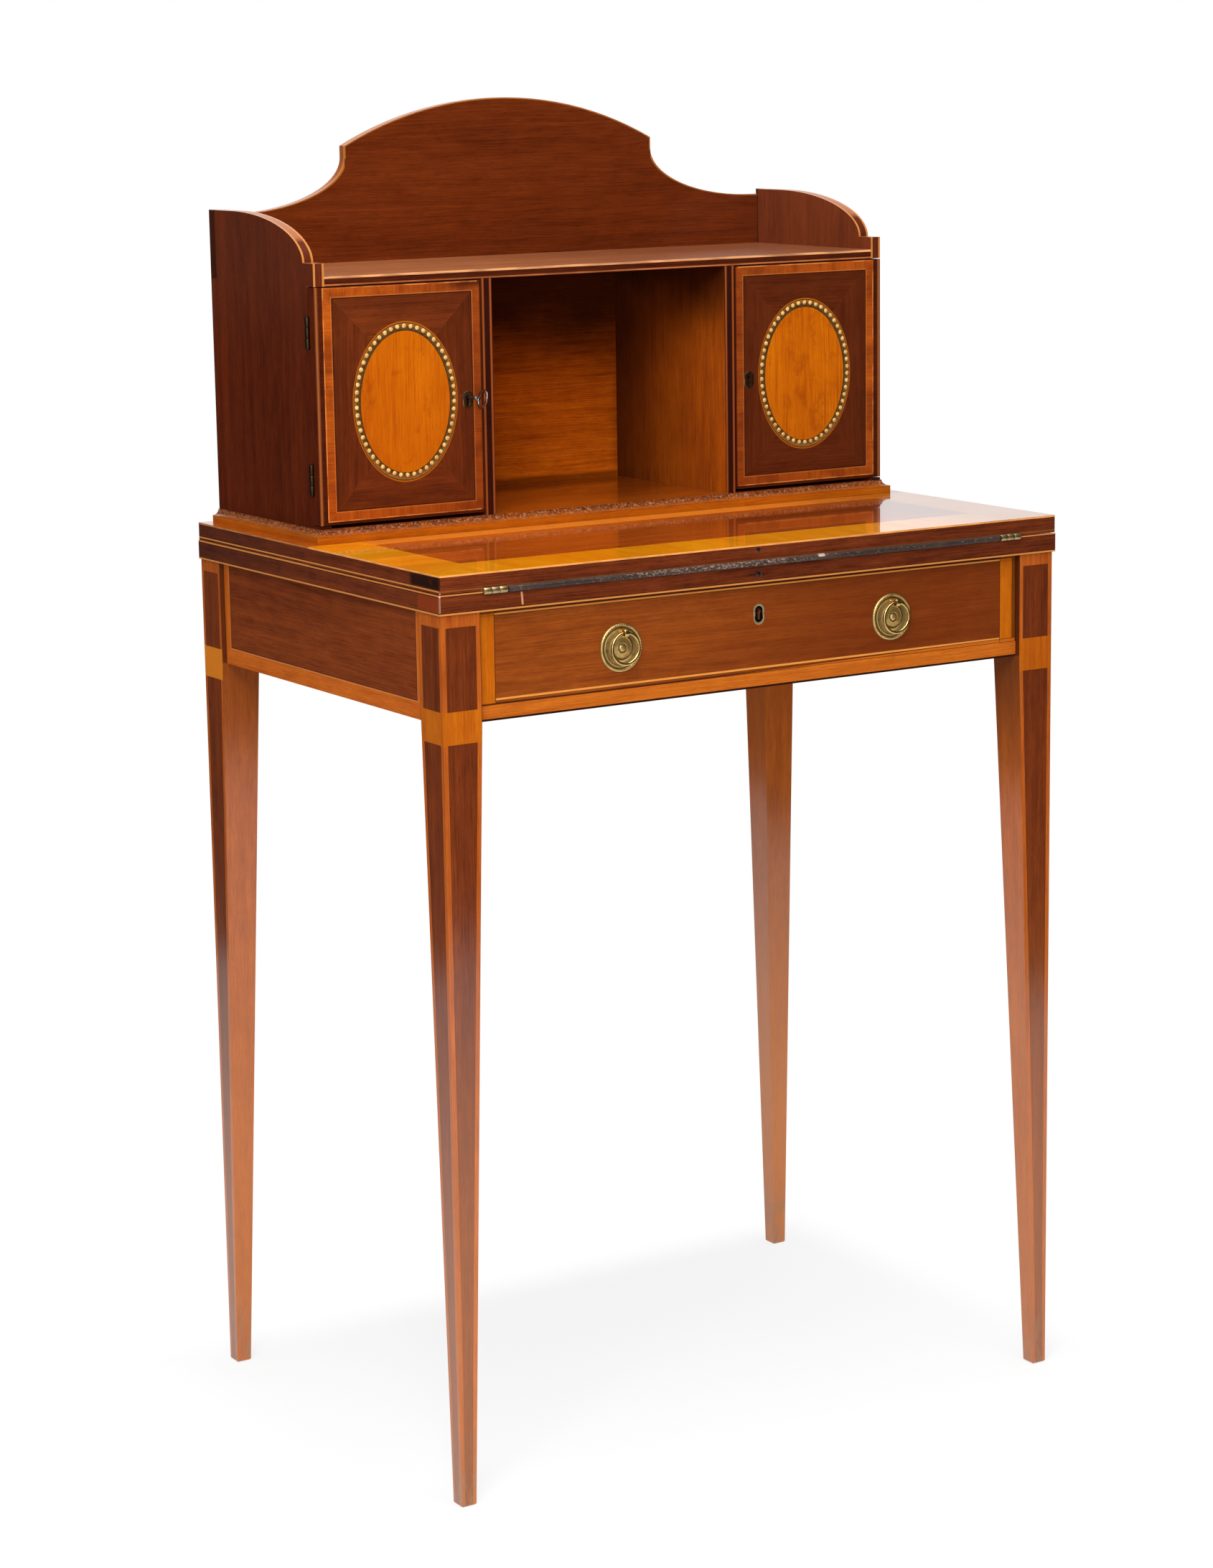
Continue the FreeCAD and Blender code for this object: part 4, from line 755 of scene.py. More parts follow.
def shelf_veneer():
    """Shelf over the cupboards: strings on both arrises of its front edge."""
    net, x, y, z = start("shelf_veneer")
    front = net.inside(SHELF_LOW[1] + 0.3 - y)
    grain = net.join(x, z * front + y, z)
    shade, relief = veneer(net, grain, SHELF.dark, SHELF.light, 9.0, 9.0)
    edge, _ = veneer(net, net.join(x, z, y), SHELF.edge_dark, SHELF.edge_light, 6.0, 9.5)
    lit = net.ramp(net.noise(net.join(x / 40, 0.0, z / 4), 2.0), 0.36, 0.6) * 0.5 + 0.5
    upper = net.stripe(z, SHELF_HIGH[2] - 2.0, SHELF_HIGH[2] - 0.1) * front * lit
    lower = net.stripe(z, SHELF_LOW[2] + 0.3, SHELF_LOW[2] + 1.6) * front * lit
    shade = net.over(shade, (net.ramp(x, -160.0, 200.0) * 0.5, SHELF.shaded), (front, edge),
                     (upper, SHELF.upper_string), (lower, SHELF.lower_string),
                     (net.nicks(x, y, 60.0, 0.8) * (1.0 - front) * 0.7, SHELF.nick))
    return polish(net, shade, relief, 0.3, coat=0.35, coat_rough=0.12)


def plain_veneer(name, order, dark, light, stripe=9.0, seed=0.0, **more):
    """Wood with its fibres along one axis: order lists the axes from the fibres outwards."""
    net, x, y, z = start(name)
    axes = dict(x=x, y=y, z=z)
    shade, relief = veneer(net, net.join(*[axes[a] for a in order]), dark, light, stripe, seed)
    return polish(net, shade, relief, **more)


def oak(name, order, woods, stripe, seed, rough):
    """Unpolished oak of the linings and the frame inside."""
    return plain_veneer(name, order, woods.oak_dark, woods.oak_light, stripe, seed, rough=rough, coat=0.0)


FLOOR = tints(dark=(112, 43, 6), light=(172, 82, 15))
MOULDING = tints(dark=(140, 62, 4), light=(200, 104, 12), film=(90, 46, 27), dust=(178, 140, 112),
                 gap=(60, 28, 14))


def moulding_veneer(name, order):
    """Base moulding: satinwood face, with grey dust lying in the hollow over it."""
    net, x, y, z = start(name)
    axes = dict(x=x, y=y, z=z)
    grain = net.join(*[axes[a] for a in order])
    shade, relief = veneer(net, grain, MOULDING.dark, MOULDING.light, 4.0, 10.0)
    film = net.ramp(z, MOULDING_HIGH[2] - 7.0, MOULDING_HIGH[2] - 2.5)
    dusty = net.ramp(net.clouds(5, 5, 5, 4.0, 0.7), 0.36, 0.6)
    specks = net.clouds(1.8, 1.8, 1.8)
    shade = net.over(shade, (film * (dusty * 0.4 + 0.5), MOULDING.film),
                     (film * net.ramp(specks, 0.53, 0.65) * 0.45, MOULDING.dust),
                     (film * net.ramp(-specks, -0.45, -0.36) * 0.6, MOULDING.gap))
    return polish(net, shade, relief, 0.34, coat=0.5)


DOOR = tints(field_dark=(65, 23, 7), field_light=(121, 54, 20), flame=(100, 34, 6), band_shaded=(96, 40, 18),
             field_shaded=(52, 18, 6), mitre=(160, 92, 60), sagged=(48, 18, 8), rim=(50, 16, 6),
             right_field=(60, 20, 5), post=(156, 84, 44), string=(206, 132, 62), ring=(176, 96, 12))


def around_oval(net, x, z):
    """Millimetres outwards from the bead ring's outer edge, about even all round it."""
    half = BEADS_HIGH - OVAL_MIDDLE
    u = (abs(x) - OVAL_MIDDLE[0]) / float(half[0])
    v = (z - OVAL_MIDDLE[2]) / float(half[2])
    return (net.far(u, v) - 1.0) * OVAL_REACH


def door_veneer(woods, inlays):
    """Doors: quartered mahogany field in mitred crossbanding, with a string round the oval.

    The inset is the smallest distance within the crossbanding's outer rectangle. The field's fibres run level
    where the upper or lower edge is nearest, and upright elsewhere, so the quarters meet on the diagonals.
    """
    net, x, y, z = start("door_veneer")
    away = abs(x)
    left = net.inside(-x)
    width = inlays.door_band
    face = net.inside(DOOR_LOW[1] + 0.4 - y)
    across = net.least(float(DOOR_HIGH[0]) - inlays.door_post - away, away - DOOR_LOW[0] - 0.2)
    upright = net.least(z - DOOR_LOW[2] - inlays.door_foot, DOOR_HIGH[2] - 0.6 - z)
    inset = net.least(across, upright)
    beside = net.inside(upright - across, 0.3)
    band = net.stripe(inset, 0.0, width) * face
    field = net.inside(inset - width) * face
    level, plumb = net.join(x, z, y), net.join(z, x, y)
    grain = net.turn(net.most(beside * field, net.math("SUBTRACT", 1.0, beside) * band), level, plumb)
    grain = net.turn(1.0 - face, grain, plumb)
    dark = net.mix(band, net.mix(field, woods.case_dark, DOOR.field_dark), woods.cross_dark)
    light = net.mix(band, net.mix(field, woods.case_light, DOOR.field_light), woods.cross_light)
    shade, relief = veneer(net, grain, dark, light, 6.0, 11.0)
    flame = net.ramp(net.clouds(22, 22, 22, 3.0, 0.6), 0.42, 0.66)
    near_middle = net.ramp(-away, -240.0, -130.0) * 0.36 + 0.14
    mitre = net.inside(0.35 - abs(upright - across), 0.3) * field
    sagged = net.ramp(-away, -176.0, -140.0) * net.inside(z - (DOOR_HIGH[2] - 5.0), 4.0) * left
    post = net.stripe(float(DOOR_HIGH[0]) - away, 0.3, 3.2, 0.9) * face
    lit = net.ramp(net.noise(net.join(x / 18, 0.0, z / 18), 2.0), 0.38, 0.6) * 0.7 + 0.15
    string = net.most(net.stripe(inset, 0.0, 0.9) * lit * net.inside(away - DOOR_LOW[0] - 3.0),
                      net.stripe(inset, width - 1.1, width - 0.1) * 0.25,
                      net.stripe(float(DOOR_HIGH[0]) - away, 1.1, 2.1, 0.5) * 0.5) * face
    ring = around_oval(net, x, z)
    line = net.most(net.stripe(inset, width - 0.1, width + 0.7), net.inside(-0.1 - inset) * 0.5,
                    net.stripe(ring, -0.6, 0.5), net.inside(DOOR_LOW[0] + 1.0 - away, 0.5)) * face
    shade = net.over(shade, (flame * band * 0.5, DOOR.flame), (near_middle * band, DOOR.band_shaded),
                     (net.ramp(z, 925.0, 955.0) * field * left * 0.22, DOOR.field_shaded),
                     (mitre * 0.08, DOOR.mitre), (beside * field * 0.1, DOOR.field_shaded),
                     # Darker at the left door's top inner corner.
                     (sagged * band * 0.75, DOOR.sagged),
                     # Painted shade: the field darkens towards the crossbanding.
                     (net.ramp(inset, 26.0, float(width)) * field * 0.22, DOOR.rim),
                     # Painted shade: the right door's field is darker.
                     (net.inside(x) * field * 0.3, DOOR.right_field), (post * 0.85, DOOR.post),
                     (string, DOOR.string), (net.stripe(ring, 0.2, 1.5, 0.6) * face * 0.8, DOOR.ring),
                     (line * 0.75, woods.joint_line))
    return polish(net, shade, relief - line * 0.03, 0.33, coat=0.4)


OVAL = tints(dark=(168, 74, 1), light=(214, 119, 5), figure=(138, 54, 4))


def oval_veneer():
    """Door ovals: pale upright satinwood."""
    net, x, y, z = start("oval_veneer")
    shade, relief = veneer(net, net.join(z, x, y), OVAL.dark, OVAL.light, 12.0, 12.0)
    ribs = net.noise(net.join(x / 2.2, z / 90, y / 9), 3.0)
    burr = net.clouds(13, 13, 17, 4.0, 0.6)
    marks = net.most(net.ramp(ribs, 0.54, 0.7) * 0.55, net.ramp(burr, 0.5, 0.72) * 0.55, net.inside(-x) * 0.2)
    return polish(net, net.mix(marks, shade, OVAL.figure), relief, 0.3, coat=0.4)


# ------------------------------------------------------------------ metal, beads and leather
def metal(name, bright, dull, rough=0.3, tarnish=0.45, speck=2.2, **more):
    """Metal with tarnish in cloudy patches and small pits."""
    net = new_net(name)
    clouds = net.clouds(6.5, 6.5, 6.5, 5.0, 0.65)
    pits = net.noise(net.scaled(net.place(), speck, speck, speck), 2.0)
    shade = net.over(bright, (net.ramp(clouds, 0.42, 0.72) * tarnish, dull),
                     (net.ramp(pits, 0.6, 0.72) * 0.5, dull))
    relief = net.ramp(pits, 0.58, 0.75) * -0.03 + clouds * 0.04
    return surface(net, shade, relief, rough, spread=0.2, metallic=1.0, patch=5.0, **more)


def plate_brass(fittings):
    """Turned brass of the backplates, dark in the grooves that polishing doesn't reach."""
    net, x, y, z = start("plate_brass")
    radius = net.far(abs(x) - float(PLATE_X), z - float(PLATE_Z))
    stand = DRAWER_LOW[1] - y
    clouds = net.clouds(5, 5, 5, 5.0, 0.65)
    turned = net.noise(net.join(radius * 2.6, 0.0, 0.0), 2.0)
    groove = net.most(net.stripe(radius, 15.6, 17.2, 0.9), net.stripe(radius, 2.9, 3.9, 0.7),
                      net.stripe(radius, 8.9, 10.4, 0.9))
    dirt = net.most(groove * 0.85, net.inside(1.0 - stand, 0.8) * 0.6, net.ramp(clouds, 0.46, 0.74) * 0.6)
    shade = net.mix(dirt, fittings.brass, fittings.brass_dull)
    return surface(net, shade, turned * 0.05 + clouds * 0.03, 0.4, spread=0.24, metallic=0.9, patch=4.0)


METAL = tints(thread=(190, 164, 118), lock=(150, 122, 74), escutcheon=(126, 106, 74),
              escutcheon_dull=(52, 40, 28), key_dull=(46, 36, 34), hinge=(208, 180, 130),
              hinge_dull=(108, 84, 54), door_hinge=(74, 60, 44), door_hinge_dull=(34, 26, 20),
              screw=(104, 90, 88), screw_dull=(34, 24, 22))
HOLE_SHADE = (0.004, 0.003, 0.003, 1)


def thread_brass(fittings):
    """Brass thread round the drawer's keyhole, with the hole's shade painted black in its sunk middle."""
    net, _, y, _ = start("thread_brass")
    clouds = net.clouds(3, 3, 3, 4.0, 0.65)
    sunk = net.inside(y - (DRAWER_LOW[1] + 0.2), 0.3)
    dulled = net.ramp(clouds, 0.4, 0.7) * 0.6
    # The sunk middle is painted black as the keyhole's shade.
    shade = net.over(METAL.thread, (dulled, fittings.brass_dull), (sunk, HOLE_SHADE))
    return surface(net, shade, clouds * 0.05, 0.4, spread=0.2, metallic=0.7, patch=4.0)


BEAD = tints(stained=(188, 136, 60), inner_ground=(34, 12, 4), outer_ground=(110, 54, 10))


def bead_finish(fittings):
    """Cream beads on a dark ground: the colour changes with the height above the door's face."""
    net, x, y, z = start("bead_finish")
    mottle = net.clouds(2.5, 2.5, 2.5, 3.0)
    cream = net.mix(net.ramp(mottle, 0.35, 0.7), fittings.bead, BEAD.stained)
    # Painted shadow: the ground darkens on the ring's inner side, towards the oval.
    ground = net.mix(net.ramp(around_oval(net, x, z), -3.2, -1.2), BEAD.inner_ground, BEAD.outer_ground)
    raised = net.inside(DOOR_LOW[1] - y - 0.3, 0.5)
    return surface(net, net.mix(raised, ground, cream), mottle * 0.05, 0.36, level=raised * 0.18 + 0.02,
                   coat=raised * 0.15)


LEATHER = tints(tear=(226, 206, 184), streak=(34, 22, 18), grimy=(30, 24, 20), flake=(160, 134, 116))


def leather_base(name, fittings, rubbed, creased):
    """Leather of fine pebbles with creases between, rubbed pale on top: its net, axes, shade and relief."""
    net, x, y, z = start(name)
    place = net.place()
    pebbles = net.add("ShaderNodeTexVoronoi", 0, {"Vector": net.scaled(place, 0.9, 0.9, 0.9), "Scale": 1.0},
                      feature="F1")
    creases = net.clouds(2.2, 5, 5, 4.0, 0.7)
    rubbing = net.clouds(38, 16, 16, 5.0, 0.68)
    shade = net.mix(net.ramp(rubbing, 0.4, 0.72) * rubbed, fittings.leather, fittings.leather_worn)
    return net, x, y, z, shade, pebbles * -0.12 + creases * creased


def writing_leather(fittings):
    """Leather of the writing surface, with a tooled double line inside its edge."""
    net, x, y, _, shade, relief = leather_base("tooled_leather", fittings, 0.5, 0.06)
    inset = net.least(LEATHER_HIGH[0] - abs(x), LEATHER_HIGH[1] - y, y - (LEATHER_LOW[1] + 30))
    line = net.most(net.stripe(inset, 6.0, 6.8), net.stripe(inset, 9.0, 9.4))
    return surface(net, net.mix(line * 0.8, shade, fittings.gilding), relief - line * 0.15, 0.55, spread=0.25,
                   patch=12.0)


def fold_leather(fittings):
    """Leather of the hinge line's roll: grimy and streaked, pale flakes partly painted as glints, one short
    tear.
    """
    net, x, _, z, shade, relief = leather_base("fold_leather", fittings, 0.6, 0.3)
    tear = net.stripe(x, 53.0, 59.5, 1.6) * net.stripe(z, FLAP_PIN_Z + 0.4, FLAP_PIN_Z + 2.6, 0.6)
    streaks = net.clouds(22, 0.8, 0.8, 3.0)
    # Pale flakes, partly painted highlights: small glints over the leather.
    flakes_and_glints = net.clouds(2.6, 1.3, 1.3, 3.0, 0.7)
    scuffed = net.ramp(120.0 - abs(x + 42.0), 0.0, 70.0)
    shade = net.over(shade, (tear, LEATHER.tear), (net.ramp(streaks, 0.5, 0.75) * 0.5, LEATHER.streak),
                     (0.45 - scuffed * 0.3, LEATHER.grimy),
                     (net.ramp(flakes_and_glints + scuffed * 0.1, 0.6, 0.7) * 0.65, LEATHER.flake))
    return surface(net, shade, relief + flakes_and_glints * 0.25, 0.55, spread=0.25, patch=12.0)


# ------------------------------------------------------------------ meshes
def sheet_faces(rows, columns, round_rows, round_columns):
    """Corner numbers of the quads over a grid, closed on itself where a direction runs round."""
    i, j = np.meshgrid(np.arange(rows if round_rows else rows - 1),
                       np.arange(columns if round_columns else columns - 1), indexing="ij")
    after_i = (i + 1) % rows
    after_j = (j + 1) % columns
    quads = [i * columns + j, i * columns + after_j, after_i * columns + after_j, after_i * columns + j]
    return np.stack(quads, -1).reshape(-1, 4)


def add_shell(target, points, round_rows=False, round_columns=True, closed=True):
    """Adds a grid of points (rows, columns, 3), in millimetres, to a bmesh, with poles and seams welded."""
    rows, columns = points.shape[:2]
    mesh = bpy.data.meshes.new("shell")
    mesh.from_pydata((points.reshape(-1, 3) * MM).tolist(), [],
                     sheet_faces(rows, columns, round_rows, round_columns).tolist())
    work = bmesh.new()
    work.from_mesh(mesh)
    bmesh.ops.remove_doubles(work, verts=work.verts, dist=2e-7)
    bmesh.ops.dissolve_degenerate(work, edges=work.edges, dist=1e-8)
    if closed:
        bmesh.ops.recalc_face_normals(work, faces=work.faces)
    work.to_mesh(mesh)
    work.free()
    target.from_mesh(mesh)
    bpy.data.meshes.remove(mesh)


def make_piece(name, shells, material, body, nodes=(), smooth=0.6):
    """One object of several shells, smooth except over edges sharper than the angle given in radians."""
    work = bmesh.new()
    for shell in shells:
        points, settings = shell if isinstance(shell, tuple) else (shell, {})
        add_shell(work, points, **settings)
    mesh = bpy.data.meshes.new(name)
    work.to_mesh(mesh)
    work.free()
    mesh.polygons.foreach_set("use_smooth", np.ones(len(mesh.polygons), bool))
    mesh.set_sharp_from_angle(angle=smooth)
    mesh.materials.append(material)
    piece = bpy.data.objects.new(name, mesh)
    bpy.context.scene.collection.objects.link(piece)
    if body:
        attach(piece, body)
    if nodes:
        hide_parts(*nodes)
    return piece


def lathe(profile, centre, axis, steps=40):
    """Profile of (radius, distance along the axis) points turned about the axis through the centre."""
    profile = np.array(profile, float)
    axis = np.array(axis, float)
    first = np.array([0.0, 0, 1]) if abs(axis[0]) > 0.5 or abs(axis[1]) > 0.5 else np.array([1.0, 0, 0])
    second = np.cross(axis, first)
    turn = np.linspace(0, 2 * np.pi, steps, endpoint=False)
    spoke = np.cos(turn)[:, None] * first + np.sin(turn)[:, None] * second
    return (np.array(centre, float) + profile[:, None, 1:] * axis
            + profile[:, None, :1] * spoke[None, :, :])


def rounded(half_u, half_v, radius, steps=8):
    """Rectangle outline with rounded corners: each corner centre plus the radius at the running angle."""
    turn = (np.arange(4 * steps) + 0.5) * 2 * np.pi / (4 * steps)
    c, s = np.cos(turn), np.sin(turn)
    return np.stack([np.sign(c) * (half_u - radius) + radius * c,
                     np.sign(s) * (half_v - radius) + radius * s], -1)


def plate(outline, low, high, chamfer=0.15, to_world=None):
    """Flat plate: the outline carried from low to high, chamfered at both faces and closed by poles.

    The outline lies in the local xy plane round its own middle.
    """
    middle = outline.mean(0)
    outward = outline - middle
    reach = np.linalg.norm(outward, axis=1, keepdims=True)
    drawn_in = outline - outward / reach * chamfer
    pole = np.repeat(middle[None], len(outline), 0)
    rows = [(pole, low), (drawn_in, low), (outline, low + chamfer), (outline, high - chamfer),
            (drawn_in, high), (pole, high)]
    points = np.stack([np.column_stack([row, np.full(len(row), level)]) for row, level in rows])
    return points if to_world is None else to_world(points)


def carried(axes, origin):
    """Change from local axes to the desk's."""
    matrix = np.array(axes, float)
    origin = np.array(origin, float)
    return lambda points: points @ matrix + origin


def block(low, high, chamfer=0.2, corner=0.4):
    """Box with eased corners, from its two extreme corners, lying on the xy plane."""
    low, high = np.array(low, float), np.array(high, float)
    half = (high - low) / 2
    outline = rounded(half[0], half[1], min(corner, *half[:2]), 4) + ((low + high) / 2)[:2]
    return plate(outline, low[2], high[2], min(chamfer, half[2] * 0.8))


def screw_head(centre, axis, radius, slot=0.5, rise=0.25):
    """Slotted screw head: two half domes that stand apart by the slot, over a disc at the slot's floor.

    In each half the angle runs over half a turn, and the radius over a row of dome points. The straight
    closing side is the slot's wall.
    """
    axis = np.array(axis, float)
    first = np.array([0.0, 0, 1]) if abs(axis[2]) < 0.5 else np.array([0.8, 0.6, 0])
    second = np.cross(axis, first)
    dome = np.array([(0, -0.9), (0.98, -0.9), (1.0, -0.1), (0.9, 0.35), (0.6, 0.8), (0.3, 0.97), (0.0, 1.0)])
    reach, height = dome[:, None, 0] * radius, dome[:, None, 1] * rise
    turn = np.linspace(0, np.pi, 14)
    shells = []
    for side in (-1, 1):
        u = reach * np.cos(turn)
        v = side * (reach * 0.97 * np.sin(turn) + slot / 2)
        w = np.repeat(height, len(turn), 1)
        shells.append(np.array(centre, float) + u[..., None] * first + v[..., None] * second
                      + w[..., None] * axis)
    under, floor = -rise * 0.9, -rise * 0.3
    shells.append(lathe([(0, under), (radius, under), (radius, floor), (0, floor)], centre, axis, 28))
    return shells


# ------------------------------------------------------------------ pieces
def bead_shells(side, fittings):
    """Ring of beads: half balls set at even steps along an ellipse, over a flat band carried round it.

    The steps are read from the running length of the ellipse, which lies in the band's outer part and a
    little above its middle. Each ball is a quarter circle turned about the line that stands on the door.
    """
    bead, bead_rise, lift = 2.0, 1.1, 0.9
    outer = np.array([BEADS_HIGH[0] - BEADS_LOW[0], BEADS_HIGH[2] - BEADS_LOW[2]]) / 2
    bead_line = outer - np.array([2.15, 3.1])
    middle = outer - 3.0
    x0, face, z0 = side * OVAL_MIDDLE[0], DOOR_LOW[1], OVAL_MIDDLE[2]
    turn = np.linspace(0, 2 * np.pi, 180, endpoint=False)
    outward = np.stack([np.cos(turn) / middle[0], np.sin(turn) / middle[1]], -1)
    outward /= np.linalg.norm(outward, axis=1, keepdims=True)
    section = np.array([(-2.9, 0.6), (-2.9, -0.02), (-2.6, -0.1), (2.3, -0.12), (2.6, -0.25), (2.85, -0.1),
                        (2.85, 0.6)])
    plane = middle * np.stack([np.cos(turn), np.sin(turn)], -1)
    plane = plane[:, None, :] + outward[:, None, :] * section[None, :, :1]
    band = np.stack([x0 + plane[..., 0], np.broadcast_to(face + section[:, 1], plane.shape[:2]),
                     z0 + plane[..., 1]], -1)
    fine = np.linspace(0, 2 * np.pi, 4001)
    hops = np.diff(bead_line * np.stack([np.cos(fine), np.sin(fine)], -1), axis=0)
    run = np.concatenate([[0], np.cumsum(np.hypot(*hops.T))])
    steps = np.interp((np.arange(fittings.bead_count) + 0.5) / fittings.bead_count * run[-1], run, fine)
    rise = np.linspace(0, np.pi / 2, 7)
    ball = np.concatenate([[(0.0, -0.1), (bead, -0.1)],
                           np.stack([bead * np.cos(rise), bead_rise * np.sin(rise)], -1)])
    places = [(x0 + bead_line[0] * np.cos(t), face, z0 + lift + bead_line[1] * np.sin(t)) for t in steps]
    balls = [lathe(ball, place, (0, -1, 0), 14) for place in places]
    return [(band, dict(round_rows=True))] + balls


def backplate_shell(x, fittings):
    """Turned backplate: dished disc, groove, boss and a rim of small beads.

    The profile is turned about the plate's middle. On the rim a wave of the angle multiplies the height.
    """
    r = float(PLATE_RADIUS)
    profile = [(0.0, 0.0), (r - 0.2, 0.0), (r, 0.35), (r - 0.35, 1.0), (r - 0.75, 1.55), (r - 1.2, 1.9),
               (r - 1.7, 1.95), (r - 2.2, 1.6), (r - 2.6, 1.15), (r - 3.0, 0.95), (r - 3.6, 0.95),
               (r - 4.0, 1.2), (r - 4.4, 1.5), (r - 4.9, 1.5), (r - 5.3, 1.2), (r - 6.2, 1.15),
               (r - 8.0, 1.3), (10.4, 1.5), (10.0, 2.0), (9.5, 2.25), (9.0, 2.2), (8.6, 1.9), (7.6, 2.2),
               (6.2, 2.65), (5.0, 2.9), (4.4, 3.2), (4.0, 3.2), (3.6, 2.8), (3.2, 2.8), (2.8, 3.3),
               (2.2, 3.75), (1.2, 3.95), (0.0, 4.0)]
    profile = np.array(profile)
    steps = fittings.rim_beads * 6
    points = lathe(profile, (x, DRAWER_LOW[1], PLATE_Z), (0, -1, 0), steps)
    turn = np.linspace(0, 2 * np.pi, steps, endpoint=False)
    rim_middle, rim_width, rim_rise, bead_depth = r - 1.5, 0.9, 1.95, 0.42
    on_rim = np.exp(-((profile[:, 0] - rim_middle) / rim_width) ** 2)
    wave = bead_depth * (0.5 - 0.5 * np.cos(turn * fittings.rim_beads))
    points[..., 1] += (on_rim * profile[:, 1] / rim_rise)[:, None] * wave[None, :]
    return points


def eye_shells(x):
    """Post of a pull: stem, collar, eye turned about the ring's own line, and a square nut inside."""
    eye_z = PLATE_Z + PULL_RING_RADIUS
    middle = (x, DRAWER_LOW[1] - PULL_EYE_STAND, eye_z)
    eye_radius, eye_wall, eye_half = 2.98, 0.62, 2.1
    turn = np.linspace(0, 2 * np.pi, 16, endpoint=False)
    c, s = np.cos(turn), np.sin(turn)
    section = np.stack([eye_radius + eye_wall * np.sign(c) * np.abs(c) ** 0.7,
                        eye_half * np.sign(s) * np.abs(s) ** 0.7], -1)
    eye = lathe(section, middle, (1, 0, 0), 36)
    stem = lathe([(0, -4.2), (2.5, -4.2), (2.6, -4.7), (2.1, -5.2), (1.9, -6.0), (1.95, -28.0), (1.6, -30.4),
                  (0, -30.5)], middle, (0, -1, 0), 24)
    neck = lathe([(0, -2.9), (2.0, -2.9), (1.9, -3.6), (2.2, -4.4), (0, -4.4)], middle, (0, -1, 0), 24)
    nut_half, nut_thick = 4.0, 2.6
    inward = carried([(1, 0, 0), (0, 0, 1), (0, 1, 0)], (x, DRAWER_HIGH[1], eye_z))
    nut = plate(rounded(nut_half, nut_half, 0.7, 5), 0.0, nut_thick, 0.5, inward)
    return [(eye, dict(round_rows=True)), stem, neck, nut]


def ring_shell(x, fittings):
    """Hanging ring: a circle of wire, a little stouter at the bottom where the fingers pull."""
    turn = np.linspace(0, 2 * np.pi, 112, endpoint=False)
    around = np.linspace(0, 2 * np.pi, 18, endpoint=False)
    wire = fittings.wire * (1 - 0.06 * (1 + np.sin(turn)))
    reach = PULL_RING_RADIUS + wire[:, None] * np.cos(around)
    points = np.stack([x + reach * np.cos(turn)[:, None],
                       DRAWER_LOW[1] - PULL_EYE_STAND + wire[:, None] * np.sin(around),
                       PLATE_Z + reach * np.sin(turn)[:, None]], -1)
    return points, dict(round_rows=True)


def polar_outline(turn, centre_shift, half, lift):
    """Distance from a point to a round-ended plate's outline in each direction.

    The plate is a box between two discs. The distance is the farthest of the ray's crossings with the three.
    """
    c, s = np.cos(turn), np.sin(turn)
    far = np.zeros_like(turn)
    for middle in (lift, -lift):
        offset = middle - centre_shift
        along = s * offset
        root = along ** 2 - offset ** 2 + half ** 2
        far = np.maximum(far, np.where(root > 0, along + np.sqrt(np.maximum(root, 0)), 0))
    with np.errstate(divide="ignore"):
        side = np.abs(half / np.where(np.abs(c) < 1e-9, 1e-9, c))
        up = np.where(s > 0, lift - centre_shift, lift + centre_shift) / np.maximum(np.abs(s), 1e-9)
    return np.maximum(far, np.minimum(side, up))


def keyhole_outline(turn):
    """Distance to the keyhole's outline from a point a little below its round part's middle.

    The hole is a disc over a slot. The distance is the farther of the ray's crossings with the two.
    """
    hole, slot_half, slot_foot, least = 2.15, 1.15, 5.4, 1e-9
    c, s = np.cos(turn), np.sin(turn)
    along = s * KEYHOLE_SHIFT
    disc = along + np.sqrt(np.maximum(along ** 2 - KEYHOLE_SHIFT ** 2 + hole ** 2, 0))
    side = np.abs(slot_half / np.where(np.abs(c) < least, least, c))
    up = np.where(s > 0, KEYHOLE_SHIFT, slot_foot) / np.maximum(np.abs(s), least)
    return np.maximum(disc, np.minimum(side, up))


def escutcheon_shell(node, face, rows):
    """Keyhole plate: outlines between the keyhole and the round-ended edge, each raised from the wood's face.

    A row holds a share of the way from the keyhole to the edge, a distance back from there, and the rise.
    """
    low, high = limits(node)
    width, _, height = high - low
    x = (low[0] + high[0]) / 2
    z = (low[2] + high[2]) / 2 + KEYHOLE_LIFT - KEYHOLE_SHIFT
    turn = np.linspace(0, 2 * np.pi, 120, endpoint=False)
    inner = keyhole_outline(turn)
    outer = polar_outline(turn, KEYHOLE_LIFT - KEYHOLE_SHIFT, width / 2, (height - width) / 2)
    share, drawn, rise = np.array(rows).T[:, :, None]
    reach = inner + (outer - inner) * share - drawn
    points = np.stack([x + reach * np.cos(turn), np.broadcast_to(face - rise, reach.shape),
                       z + reach * np.sin(turn)], -1)
    return points, dict(round_rows=True)


